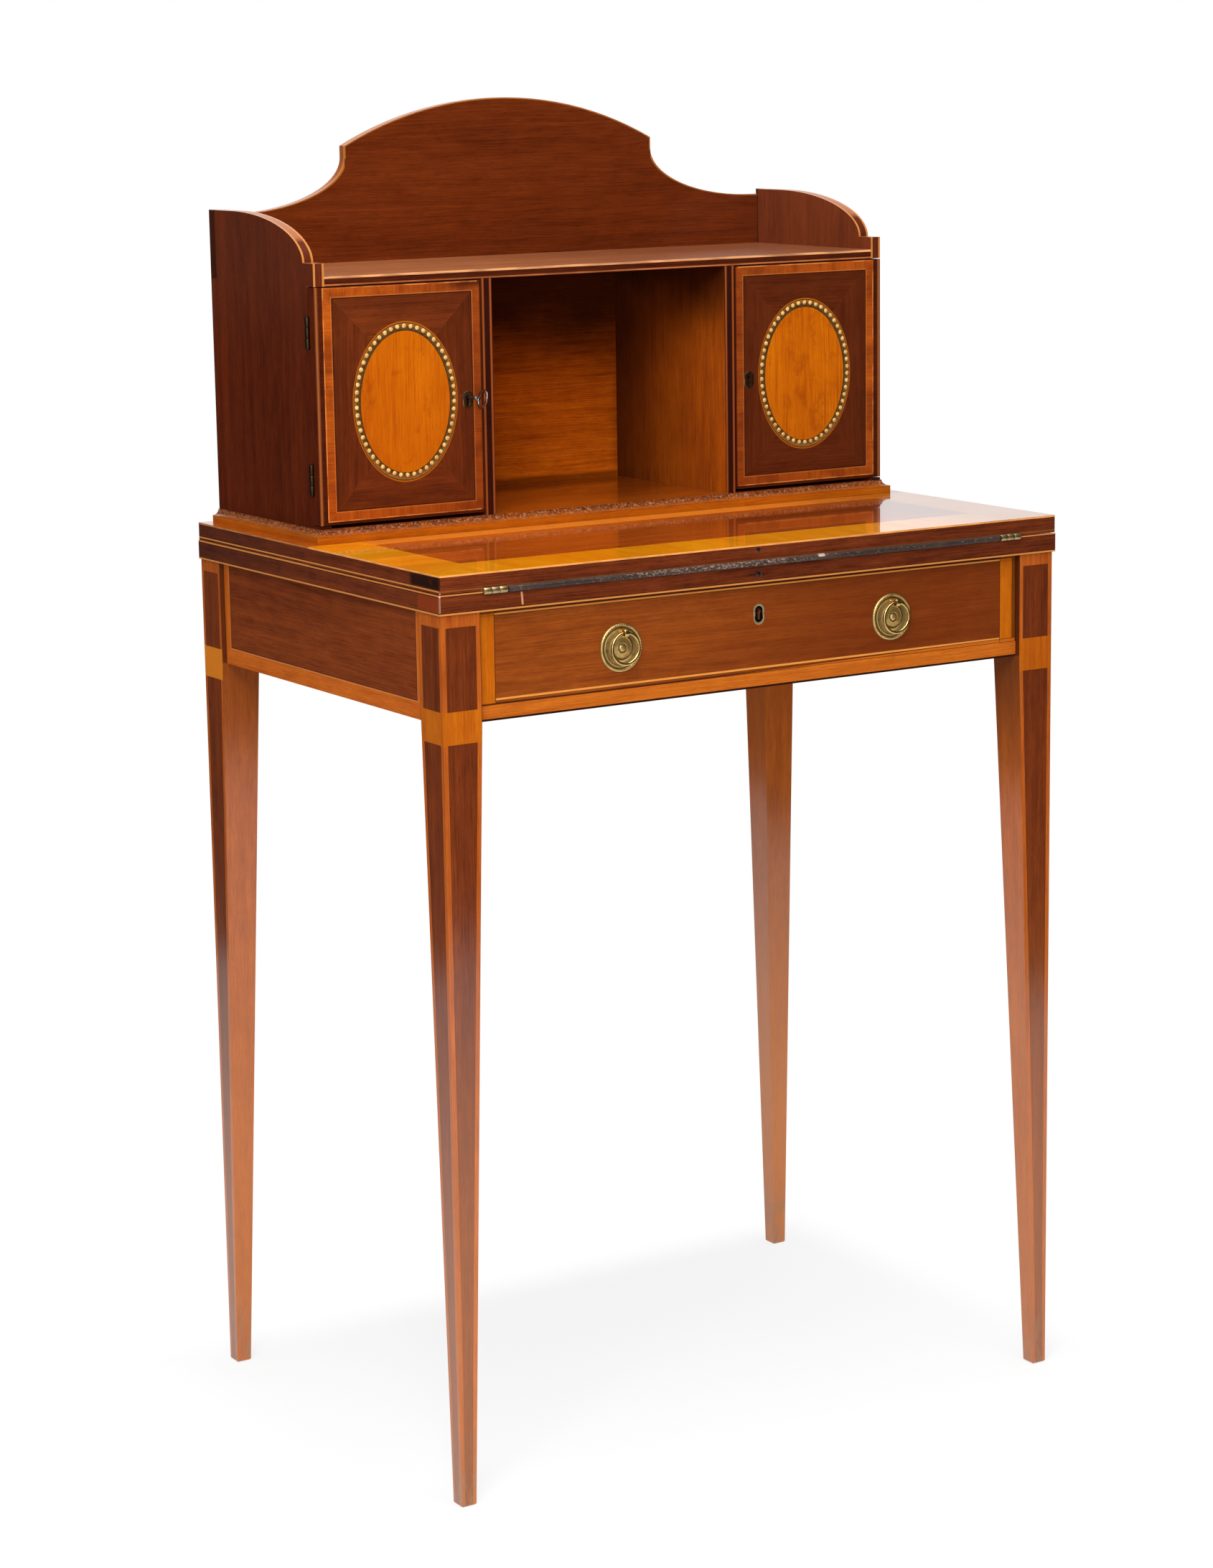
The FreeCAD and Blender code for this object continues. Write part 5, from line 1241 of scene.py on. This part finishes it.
def hinge_shells(span, screws, to_world, leaf, thickness, radius, rise, stand):
    """Butt hinge about the local z axis with its leaves along local x: shells of the fixed and moving half.

    The knuckles are turned barrels with eased ends, a gap apart. The leaf is a plate with a tongue to each
    knuckle, and it starts clear of the barrels. The stand is from the pin to where the leaf's length counts.
    """
    gap, ease, clearance = 0.16, 0.35, 0.35
    end, sixth = span / 2, span / 6
    lower, between, upper = (-end, -sixth - gap), (-sixth + gap, sixth - gap), (sixth + gap, end)
    flat = carried([(1, 0, 0), (0, 0, 1), (0, 1, 0)], (0, 0, 0))

    def barrel(low, high):
        return lathe([(0, low), (radius - ease, low), (radius - 0.1, low + 0.12), (radius, low + ease),
                      (radius, high - ease), (radius - 0.1, high - 0.12), (radius - ease, high), (0, high)],
                     (0, 0, 0), (0, 0, 1), 28)

    def half(side, knuckles):
        clear = radius + clearance
        y0, y1 = sorted((side * rise, side * (rise + thickness)))
        shells = [barrel(*knuckle) for knuckle in knuckles]
        shells.append(flat(block((clear, -end, y0), (stand + leaf, end, y1), 0.12, 0.5)))
        for a, b in knuckles:
            shells.append(flat(block((0.2, a, y0), (clear + 0.3, b, y1), 0.12, 0.3)))
        for x, z in screws:
            shells += screw_head((x, side * rise, z), (0, -side, 0), thickness * 1.15, slot=0.35, rise=0.18)
        return [to_world(shell) for shell in shells]

    return half(1, (lower, upper)), half(-1, (between,))


def key_shells():
    """Key: a round bow of wire, leaning a little, turned collars on the shank, and a bit with two cuts.

    The bow is a ring whose wire is wider than thick, drawn in a little where it meets the shank.
    """
    low, high = KEY_LOW, KEY_HIGH
    x = (low[0] + high[0]) / 2
    z = high[2] - 8.5
    bow_radius, wire_wide, wire_thick, lean = 6.9, 1.4, 1.25, 0.26
    bow_y = low[1] + bow_radius + wire_wide
    turn = np.linspace(0, 2 * np.pi, 72, endpoint=False)
    around = np.linspace(0, 2 * np.pi, 14, endpoint=False)
    reach = bow_radius + wire_wide * np.cos(around)
    pinch = 1 - 0.12 * np.exp(-((np.cos(turn) - 1) / 0.25) ** 2)
    height = reach[None, :] * (np.sin(turn) * pinch)[:, None]
    flat = np.broadcast_to(wire_thick * np.sin(around), height.shape)
    bow = np.stack([x + flat * np.cos(lean) + height * np.sin(lean),
                    bow_y + reach[None, :] * np.cos(turn)[:, None],
                    z + height * np.cos(lean) - flat * np.sin(lean)], -1)
    start_y, tip = bow_y + 6.4, high[1]
    profile = [(0, 0), (1.5, 0), (2.3, 0.5), (2.5, 1.1), (2.3, 1.7), (1.5, 2.2), (1.4, 2.8), (1.9, 3.2),
               (2.0, 3.6), (1.6, 4.0), (1.5, 4.6), (1.5, tip - start_y - 0.5), (1.1, tip - start_y),
               (0, tip - start_y)]
    shank = lathe(profile, (x, start_y, z), (0, 1, 0), 24)
    half, reach_down = 0.8, 6.3
    # each tooth: from and to, measured back from the tip, and how much shorter it is
    teeth = ((3.9, 3.0, 0.0), (2.7, 1.9, 1.3), (1.6, 0.5, 0.0), (3.9, 0.5, 2.4))
    bits = [block((x - half, tip - back, z - reach_down + short), (x + half, tip - front, z), 0.15, 0.2)
            for back, front, short in teeth]
    return [(bow, dict(round_rows=True)), shank] + bits


def fold_shell():
    """Leather over the hinge line: a thin strip carried half round the pin, its radius creased at random.

    The angle runs from below the pin round its front to above it. A sum of fixed waves along the strip and
    round it makes the creases.
    """
    fold_radius, crease_depth, thickness, waves = 2.5, 0.18, 0.5, 16
    x = np.linspace(FOLD_LOW[0], FOLD_HIGH[0], 361)
    turn = np.linspace(-np.pi / 2, -3 * np.pi / 2, 15)
    rng = np.random.default_rng(7)
    creases = np.zeros((len(x), len(turn)))
    for _ in range(waves):
        rate, weight, phase = rng.uniform(0.05, 0.7), rng.uniform(0.2, 1), rng.uniform(0, 6.3)
        sway = np.sin(turn * rng.integers(1, 4)) * rng.uniform(0, 2)
        creases += weight * np.sin(x[:, None] * rate + phase + sway[None, :])
    creases = creases / np.abs(creases).max()
    outer = fold_radius + crease_depth * creases * np.abs(np.cos(turn))[None, :]
    faces = []
    for radius in (outer, outer - thickness):
        y = FLAP_PIN_Y + radius * np.cos(turn)[None, :]
        z = FLAP_PIN_Z + radius * np.sin(turn)[None, :]
        faces.append(np.stack([np.repeat(x[:, None], len(turn), 1), np.minimum(y, FLAP_PIN_Y), z], -1))
    return np.concatenate([faces[0], faces[1][:, ::-1]], 1)


# ------------------------------------------------------------------ operators
class DESK_OT_table_frame(bpy.types.Operator):
    """Veneers the legs, friezes and rails"""

    bl_idname = "desk.table_frame"
    bl_label = "Legs, friezes and rails"
    bl_options = {"REGISTER", "UNDO"}

    def execute(self, context):
        woods, inlays = context.scene.desk_woods, context.scene.desk_inlays
        legs = [f"leg_{end}_{side}" for end in ("front", "back") for side in SIDES]
        finish(legs, leg_veneer(woods, inlays))
        finish(["side_frieze_left", "side_frieze_right"], side_frieze_veneer(woods, inlays))
        finish(["front_rail"], rail_veneer(woods))
        finish(["back_rail"], oak("back_rail_oak", "xzy", woods, stripe=10.0, seed=14.0, rough=0.55))
        finish(["drawer_runners", "drawer_kickers", "drawer_stops", "glue_blocks"],
               oak("frame_oak", "yxz", woods, stripe=8.0, seed=15.0, rough=0.6))
        return {"FINISHED"}


class DESK_OT_writing_leaves(bpy.types.Operator):
    """Crossbands and strings the fixed top, the flap and the board under the cabinet"""

    bl_idname = "desk.writing_leaves"
    bl_label = "Top and flap"
    bl_options = {"REGISTER", "UNDO"}

    def execute(self, context):
        veneered = leaf_veneer(context.scene.desk_woods, context.scene.desk_inlays)
        finish(["fixed_top", "writing_flap", "plinth_board"], veneered)
        return {"FINISHED"}


class DESK_OT_leather(bpy.types.Operator):
    """Lays the writing leather and folds it over the hinge line"""

    bl_idname = "desk.leather"
    bl_label = "Leather"
    bl_options = {"REGISTER", "UNDO"}

    def execute(self, context):
        fittings = context.scene.desk_fittings
        finish(["top_leather", "flap_leather"], writing_leather(fittings))
        fold = make_piece("leather_roll", [fold_shell()], fold_leather(fittings), None,
                          ["leather_fold"], smooth=1.2)
        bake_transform(fold)
        return {"FINISHED"}


class DESK_OT_cabinet(bpy.types.Operator):
    """Veneers the cabinet and its base moulding"""

    bl_idname = "desk.cabinet"
    bl_label = "Cabinet"
    bl_options = {"REGISTER", "UNDO"}

    def execute(self, context):
        woods = context.scene.desk_woods
        finish(["case_side_left", "case_side_right"], case_side_veneer(woods))
        finish(["case_back"], case_back_veneer(woods))
        finish(["divider_left", "divider_right"], divider_veneer(woods))
        finish(["top_shelf"], shelf_veneer())
        floor = plain_veneer("floor_veneer", "xyz", FLOOR.dark, FLOOR.light, stripe=10.0, seed=16.0,
                             coat=0.8, coat_rough=0.06)
        finish(["case_floor"], floor)
        finish(["base_moulding_front"], moulding_veneer("moulding_front", "xzy"))
        finish(["base_moulding_returns"], moulding_veneer("moulding_returns", "yzx"))
        return {"FINISHED"}


class DESK_OT_doors(bpy.types.Operator):
    """Veneers the doors and sets the ovals in their rings of beads"""

    bl_idname = "desk.doors"
    bl_label = "Doors and ovals"
    bl_options = {"REGISTER", "UNDO"}

    def execute(self, context):
        fittings = context.scene.desk_fittings
        finish(["door_left", "door_right"], door_veneer(context.scene.desk_woods, context.scene.desk_inlays))
        finish(["door_left_oval", "door_right_oval"], oval_veneer())
        cream = bead_finish(fittings)
        for name, side in SIDES.items():
            make_piece(f"beads_{name}", bead_shells(side, fittings), cream, f"door_{name}",
                       [f"door_{name}_bead_ring"], smooth=1.0)
        return {"FINISHED"}


class DESK_OT_locks(bpy.types.Operator):
    """Makes the escutcheons, the key and the lock faces"""

    bl_idname = "desk.locks"
    bl_label = "Locks, escutcheons and key"
    bl_options = {"REGISTER", "UNDO"}

    def execute(self, context):
        fittings = context.scene.desk_fittings
        brass = metal("lock_brass", METAL.lock, fittings.brass_dull, rough=0.42, tarnish=0.7)
        dark = metal("escutcheon_brass", METAL.escutcheon, METAL.escutcheon_dull, rough=0.38, tarnish=0.8)
        steel = metal("key_steel", fittings.steel, METAL.key_dull, rough=0.3, tarnish=0.6)
        finish(["door_left_lock", "door_right_lock", "drawer_lock"], brass)
        finish(["door_left_bolt", "door_right_bolt", "drawer_bolt"], steel)
        foot = -0.85
        domed = [(0.0, 0, foot), (0.0, 0, 0.22), (0.12, 0, 0.32), (0.5, 0, 0.42), (0.82, 0, 0.36),
                 (0.96, 0, 0.22), (1.0, 0, 0.05), (1.0, 0, foot)]
        thread = [(0.0, 0, foot), (0.0, 0, -0.6), (1.0, 2.1, -0.6), (1.0, 1.9, 0.1), (1.0, 1.4, 0.35),
                  (1.0, 0.6, 0.35), (1.0, 0.1, 0.15), (1.0, 0, foot)]
        for name in SIDES:
            node = f"door_{name}_escutcheon"
            shell = escutcheon_shell(node, DOOR_LOW[1], domed)
            make_piece(f"keyhole_plate_{name}", [shell], dark, f"door_{name}", [node])
        node = "drawer_escutcheon"
        shell = escutcheon_shell(node, DRAWER_LOW[1], thread)
        make_piece("keyhole_thread", [shell], thread_brass(fittings), "drawer", [node])
        make_piece("turned_key", key_shells(), steel, "key", ["door_key"])
        return {"FINISHED"}


class DESK_OT_pulls(bpy.types.Operator):
    """Veneers the drawer, turns the backplates and bends the rings of its two pulls"""

    bl_idname = "desk.pulls"
    bl_label = "Drawer and ring pulls"
    bl_options = {"REGISTER", "UNDO"}

    def execute(self, context):
        woods, fittings = context.scene.desk_woods, context.scene.desk_fittings
        finish(["drawer_front"], drawer_veneer(woods, context.scene.desk_inlays))
        sides = oak("drawer_side_oak", "yzx", woods, stripe=7.0, seed=17.0, rough=0.5)
        finish(["drawer_side_left", "drawer_side_right"], sides)
        lengthwise = oak("drawer_back_oak", "xzy", woods, stripe=8.0, seed=18.0, rough=0.52)
        finish(["drawer_back", "drawer_bottom"], lengthwise)
        places = {name: side * float(PLATE_X) for name, side in SIDES.items()}
        plates = [backplate_shell(x, fittings) for x in places.values()]
        make_piece("turned_backplates", plates, plate_brass(fittings), "drawer",
                   ["pull_backplates"], smooth=1.0)
        posts = [shell for x in places.values() for shell in eye_shells(x)]
        brass = metal("ring_brass", fittings.brass, fittings.brass_dull, rough=0.28, tarnish=0.4)
        make_piece("eyed_posts", posts, brass, "drawer", ["pull_posts"])
        for name, x in places.items():
            make_piece(f"hanging_ring_{name}", [ring_shell(x, fittings)], brass, f"ring_{name}",
                       [f"pull_ring_{name}"], smooth=1.5)
        return {"FINISHED"}


class DESK_OT_hinges(bpy.types.Operator):
    """Makes the butt hinges of the flap and the doors, and the screws in the leaves' front edges"""

    bl_idname = "desk.hinges"
    bl_label = "Hinges and edge screws"
    bl_options = {"REGISTER", "UNDO"}

    def execute(self, context):
        self.flap_hinges()
        dark = metal("door_hinge_brass", METAL.door_hinge, METAL.door_hinge_dull, rough=0.45, tarnish=0.8)
        for name, side in SIDES.items():
            self.door_hinges(name, side, dark)
        self.edge_screws()
        return {"FINISHED"}

    def flap_hinges(self):
        """Two hinges in the front edge, their leaves sunk in the two boards."""
        brass = metal("hinge_brass", METAL.hinge, METAL.hinge_dull, rough=0.42, tarnish=0.6)
        width = 21.0
        edge = limits("flap_hinge_fixed_leaves")[1][0]
        screws = [(13.0, -6.0), (13.0, 6.0), (20.0, 0.0)]
        axes = [(0, 1, 0), (0, 0, -1), (-1, 0, 0)]
        fixed, moving = [], []
        for side in SIDES.values():
            to_world = carried(axes, (side * (edge - width / 2), FLAP_PIN_Y, FLAP_PIN_Z))
            still, turning = hinge_shells(width, screws, to_world, leaf=26.0, thickness=1.2, radius=2.8,
                                          rise=0.3, stand=0.3)
            fixed += still
            moving += turning
        make_piece("flap_hinges_fixed", fixed, brass, "desk", ["flap_hinge_fixed_leaves"],
                   smooth=0.7)
        make_piece("flap_hinges_moving", moving, brass, "flap", ["flap_hinge_moving_leaves"],
                   smooth=0.7)

    def door_hinges(self, name, side, brass):
        """Two hinges of one door, at its outer edge."""
        width, radius = 26.0, 2.0
        low, high = limits(f"door_{name}_hinge_case_leaves")
        pin_x = high[0] - radius if side > 0 else low[0] + radius
        pin_y = limits(f"door_{name}_hinge_leaves")[1][1] - radius
        screws = [(6.0, -8.5), (6.0, 0.0), (6.0, 8.5)]
        axes = [(-side, 0, 0), (0, 1, 0), (0, 0, -side)]
        fixed, moving = [], []
        for z in (low[2] + width / 2, high[2] - width / 2):
            to_world = carried(axes, (pin_x, pin_y, z))
            still, turning = hinge_shells(width, screws, to_world, leaf=8.6, thickness=1.0, radius=radius,
                                          rise=0.15, stand=1.2)
            fixed += still
            moving += turning
        make_piece(f"door_hinges_case_{name}", fixed, brass, "desk",
                   [f"door_{name}_hinge_case_leaves"], smooth=0.7)
        make_piece(f"door_hinges_leaf_{name}", moving, brass, f"door_{name}",
                   [f"door_{name}_hinge_leaves"], smooth=0.7)

    def edge_screws(self):
        """Two slotted screws, the lower one in a turned cup washer."""
        steel = metal("screw_steel", METAL.screw, METAL.screw_dull, rough=0.36, tarnish=0.6)
        washer = [(2.2, 0.5), (3.7, 0.5), (4.0, 0.1), (3.7, -0.3), (3.0, -0.45), (2.4, -0.1)]
        taper = [(0, 0.2), (1.6, 0.2), (1.2, 2.0), (1.1, 8.0), (0, 8.8)]
        for leaf, body in (("top", "desk"), ("flap", "flap")):
            node = f"{leaf}_edge_screw"
            low, high = limits(node)
            x, z = (low[0] + high[0]) / 2, (low[2] + high[2]) / 2
            face = (x, low[1] + 0.25, z)
            shells = screw_head(face, (0, -1, 0), radius=1.9)
            shells.append(lathe(taper, face, (0, 1, 0), 20))
            if leaf == "top":
                shells.append((lathe(washer, (x, low[1] + 0.35, z), (0, 1, 0), 32), dict(round_rows=True)))
            make_piece(f"{leaf}_slotted_screw", shells, steel, body, [node])


def facing_matrix(right, up, ahead, place):
    """Where a lamp or camera stands that looks ahead, with up towards the top of its view."""
    columns = np.stack([right, up, -ahead], 1)
    return Matrix([[*row, p] for row, p in zip(columns, place)] + [[0, 0, 0, 1]])


STUDIO = tints(below=(170, 170, 172), above=(250, 250, 252))
WHITE = (1, 1, 1, 1)
DARK_FLOOR = (0.03, 0.029, 0.028, 1)
DARK_ROOM = (0.021, 0.02, 0.019, 1)


class DESK_OT_stage(bpy.types.Operator):
    """Sets the floor, the lights and the camera"""

    bl_idname = "desk.stage"
    bl_label = "Floor, lights and camera"
    bl_options = {"REGISTER", "UNDO"}

    def execute(self, context):
        studio = context.scene.desk_studio
        self.floor(studio)
        self.world(studio)
        self.lamp("key_lamp", place=(-1.7, -1.9, 2.5), target=(-0.1, 0.0, 0.7), size=1.4, power=studio.key)
        self.lamp("low_lamp", place=(-1.5, -2.4, 0.7), target=(-0.1, 0.0, 0.5), size=1.4, power=studio.low)
        self.lamp("top_lamp", place=(-0.2, -0.6, 3.3), target=(0.0, 0.0, 0.8), size=1.8, power=studio.top)
        self.camera(context.scene, studio)
        return {"FINISHED"}

    def floor(self, studio):
        """A wide floor just under the desk: pale grey and shaded below the desk, and white round it.

        Polished faces see it nearly white close to the desk and dark farther off.
        """
        reach, depth = 9000.0, 0.02
        points = np.array([(-reach, -reach, -depth), (reach, -reach, -depth), (-reach, reach, -depth),
                           (reach, reach, -depth)])
        mesh = bpy.data.meshes.new("studio_floor")
        mesh.from_pydata((points * MM).tolist(), [], [(0, 1, 3, 2)])
        floor = bpy.data.objects.new("studio_floor", mesh)
        bpy.context.scene.collection.objects.link(floor)
        net, x, y, _ = start("studio_floor")
        away = net.math("SQRT", x * x * 2.25 + y * y)
        under = net.least(332.0 - abs(x), y + 300.0, 228.0 - y)
        shaded = net.ramp(under, -50.0, 30.0)
        dimmed = net.most(net.ramp(away, 1880.0, 2330.0), net.ramp(-x, 250.0, 1100.0) * 0.45)
        camera_ray, glossy_ray = [net.add("ShaderNodeLightPath", f"Is {kind} Ray", {})
                                  for kind in ("Camera", "Glossy")]
        seen = camera_ray * net.math("MULTIPLY_ADD", shaded, -0.22, 1.0) + glossy_ray * 0.8
        diffuse = net.shader("ShaderNodeBsdfDiffuse", {"Color": studio.floor})
        white = net.shader("ShaderNodeEmission", {"Color": WHITE})
        dark = net.shader("ShaderNodeEmission", {"Color": DARK_FLOOR})
        near = net.blended(seen, diffuse, white)
        mesh.materials.append(net.show(net.blended(glossy_ray * dimmed, near, dark)))

    def world(self, studio):
        """White for the camera, soft grey for the light, and a white wall behind for reflections."""
        world = bpy.data.worlds.new("studio")
        world.use_nodes = True
        bpy.context.scene.world = world
        net = Net(world.node_tree)
        dx, dy, dz = net.split(net.add("ShaderNodeTexCoord", "Generated", {}))
        wall = net.ramp(dy, 0.2, 0.55) * net.ramp(dz, -0.3, -0.05) * net.ramp(dx, -0.15, 0.2)
        camera_ray, glossy, through = [net.add("ShaderNodeLightPath", f"Is {kind} Ray", {})
                                       for kind in ("Camera", "Glossy", "Transmission")]
        glossy_ray = net.most(glossy, through)
        shade = net.mix(net.ramp(dz, -0.2, 0.9), STUDIO.below, STUDIO.above)
        shine = net.mix(wall, DARK_ROOM, WHITE)
        light = net.shader("ShaderNodeBackground", {0: shade, 1: studio.fill})
        mirrored = net.shader("ShaderNodeBackground", {0: shine, 1: studio.wall})
        backdrop = net.shader("ShaderNodeBackground", {0: WHITE, 1: 1.0})
        unseen = net.blended(glossy_ray, light, mirrored)
        net.show(net.blended(camera_ray, unseen, backdrop), "ShaderNodeOutputWorld")

    def lamp(self, name, place, target, size, power):
        """A square soft lamp that faces the target."""
        data = bpy.data.lights.new(name, "AREA")
        data.shape = "SQUARE"
        data.size = size
        data.energy = power
        lamp = bpy.data.objects.new(name, data)
        ahead = np.subtract(target, place)
        ahead /= np.linalg.norm(ahead)
        right = np.cross(ahead, (0, 0, 1))
        right /= np.linalg.norm(right)
        lamp.matrix_world = facing_matrix(right, np.cross(right, ahead), ahead, place)
        bpy.context.scene.collection.objects.link(lamp)

    def camera(self, scene, studio):
        """Camera at chest height, in front of the desk and to its left, turned to it with a slight roll."""
        turn, down, roll = 0.5560, 0.1965, -0.0155
        place = (-1.6623, -2.63395, 1.1492)
        ahead = np.array([np.sin(turn) * np.cos(down), np.cos(turn) * np.cos(down), -np.sin(down)])
        level = np.array([np.cos(turn), -np.sin(turn), 0])
        above = np.cross(level, ahead)
        right = level * np.cos(roll) + above * np.sin(roll)
        up = -level * np.sin(roll) + above * np.cos(roll)
        data = bpy.data.cameras.new("studio_camera")
        data.sensor_fit = "VERTICAL"
        data.sensor_height = 36.0
        data.lens = studio.lens
        data.shift_x, data.shift_y = 0.00156, -0.0005
        data.clip_end = 60.0
        camera = bpy.data.objects.new("studio_camera", data)
        camera.matrix_world = facing_matrix(right, up, ahead, place)
        scene.collection.objects.link(camera)
        scene.camera = camera
        scene.view_settings.view_transform = "Standard"


MAKERS = (DESK_OT_stage, DESK_OT_table_frame, DESK_OT_writing_leaves, DESK_OT_leather, DESK_OT_cabinet,
          DESK_OT_doors, DESK_OT_locks, DESK_OT_pulls, DESK_OT_hinges)
GROUPS = {"desk_woods": DeskWoods, "desk_inlays": DeskInlays, "desk_fittings": DeskFittings,
          "desk_studio": DeskStudio}


class DESK_PT_panel(bpy.types.Panel):
    """Lists the desk's operators and the sizes and colours they use"""

    bl_idname = "DESK_PT_panel"
    bl_label = "Bonheur du jour"
    bl_space_type = "VIEW_3D"
    bl_region_type = "UI"
    bl_category = "Desk"

    def draw(self, context):
        for maker in MAKERS:
            self.layout.operator(maker.bl_idname)
        for name, group in GROUPS.items():
            box = self.layout.box()
            box.label(text=group.__doc__)
            for key in group.__annotations__:
                box.prop(getattr(context.scene, name), key)


def register():
    for group in GROUPS.values():
        bpy.utils.register_class(group)
    for name, group in GROUPS.items():
        setattr(bpy.types.Scene, name, PointerProperty(type=group))
    for maker in MAKERS:
        bpy.utils.register_class(maker)
    bpy.utils.register_class(DESK_PT_panel)


def unregister():
    bpy.utils.unregister_class(DESK_PT_panel)
    for maker in MAKERS:
        bpy.utils.unregister_class(maker)
    for name, group in GROUPS.items():
        delattr(bpy.types.Scene, name)
        bpy.utils.unregister_class(group)


def main():
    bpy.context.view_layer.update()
    register()
    for maker in MAKERS:
        group, name = maker.bl_idname.split(".")
        getattr(getattr(bpy.ops, group), name)()


if __name__ == "__main__":
    main()
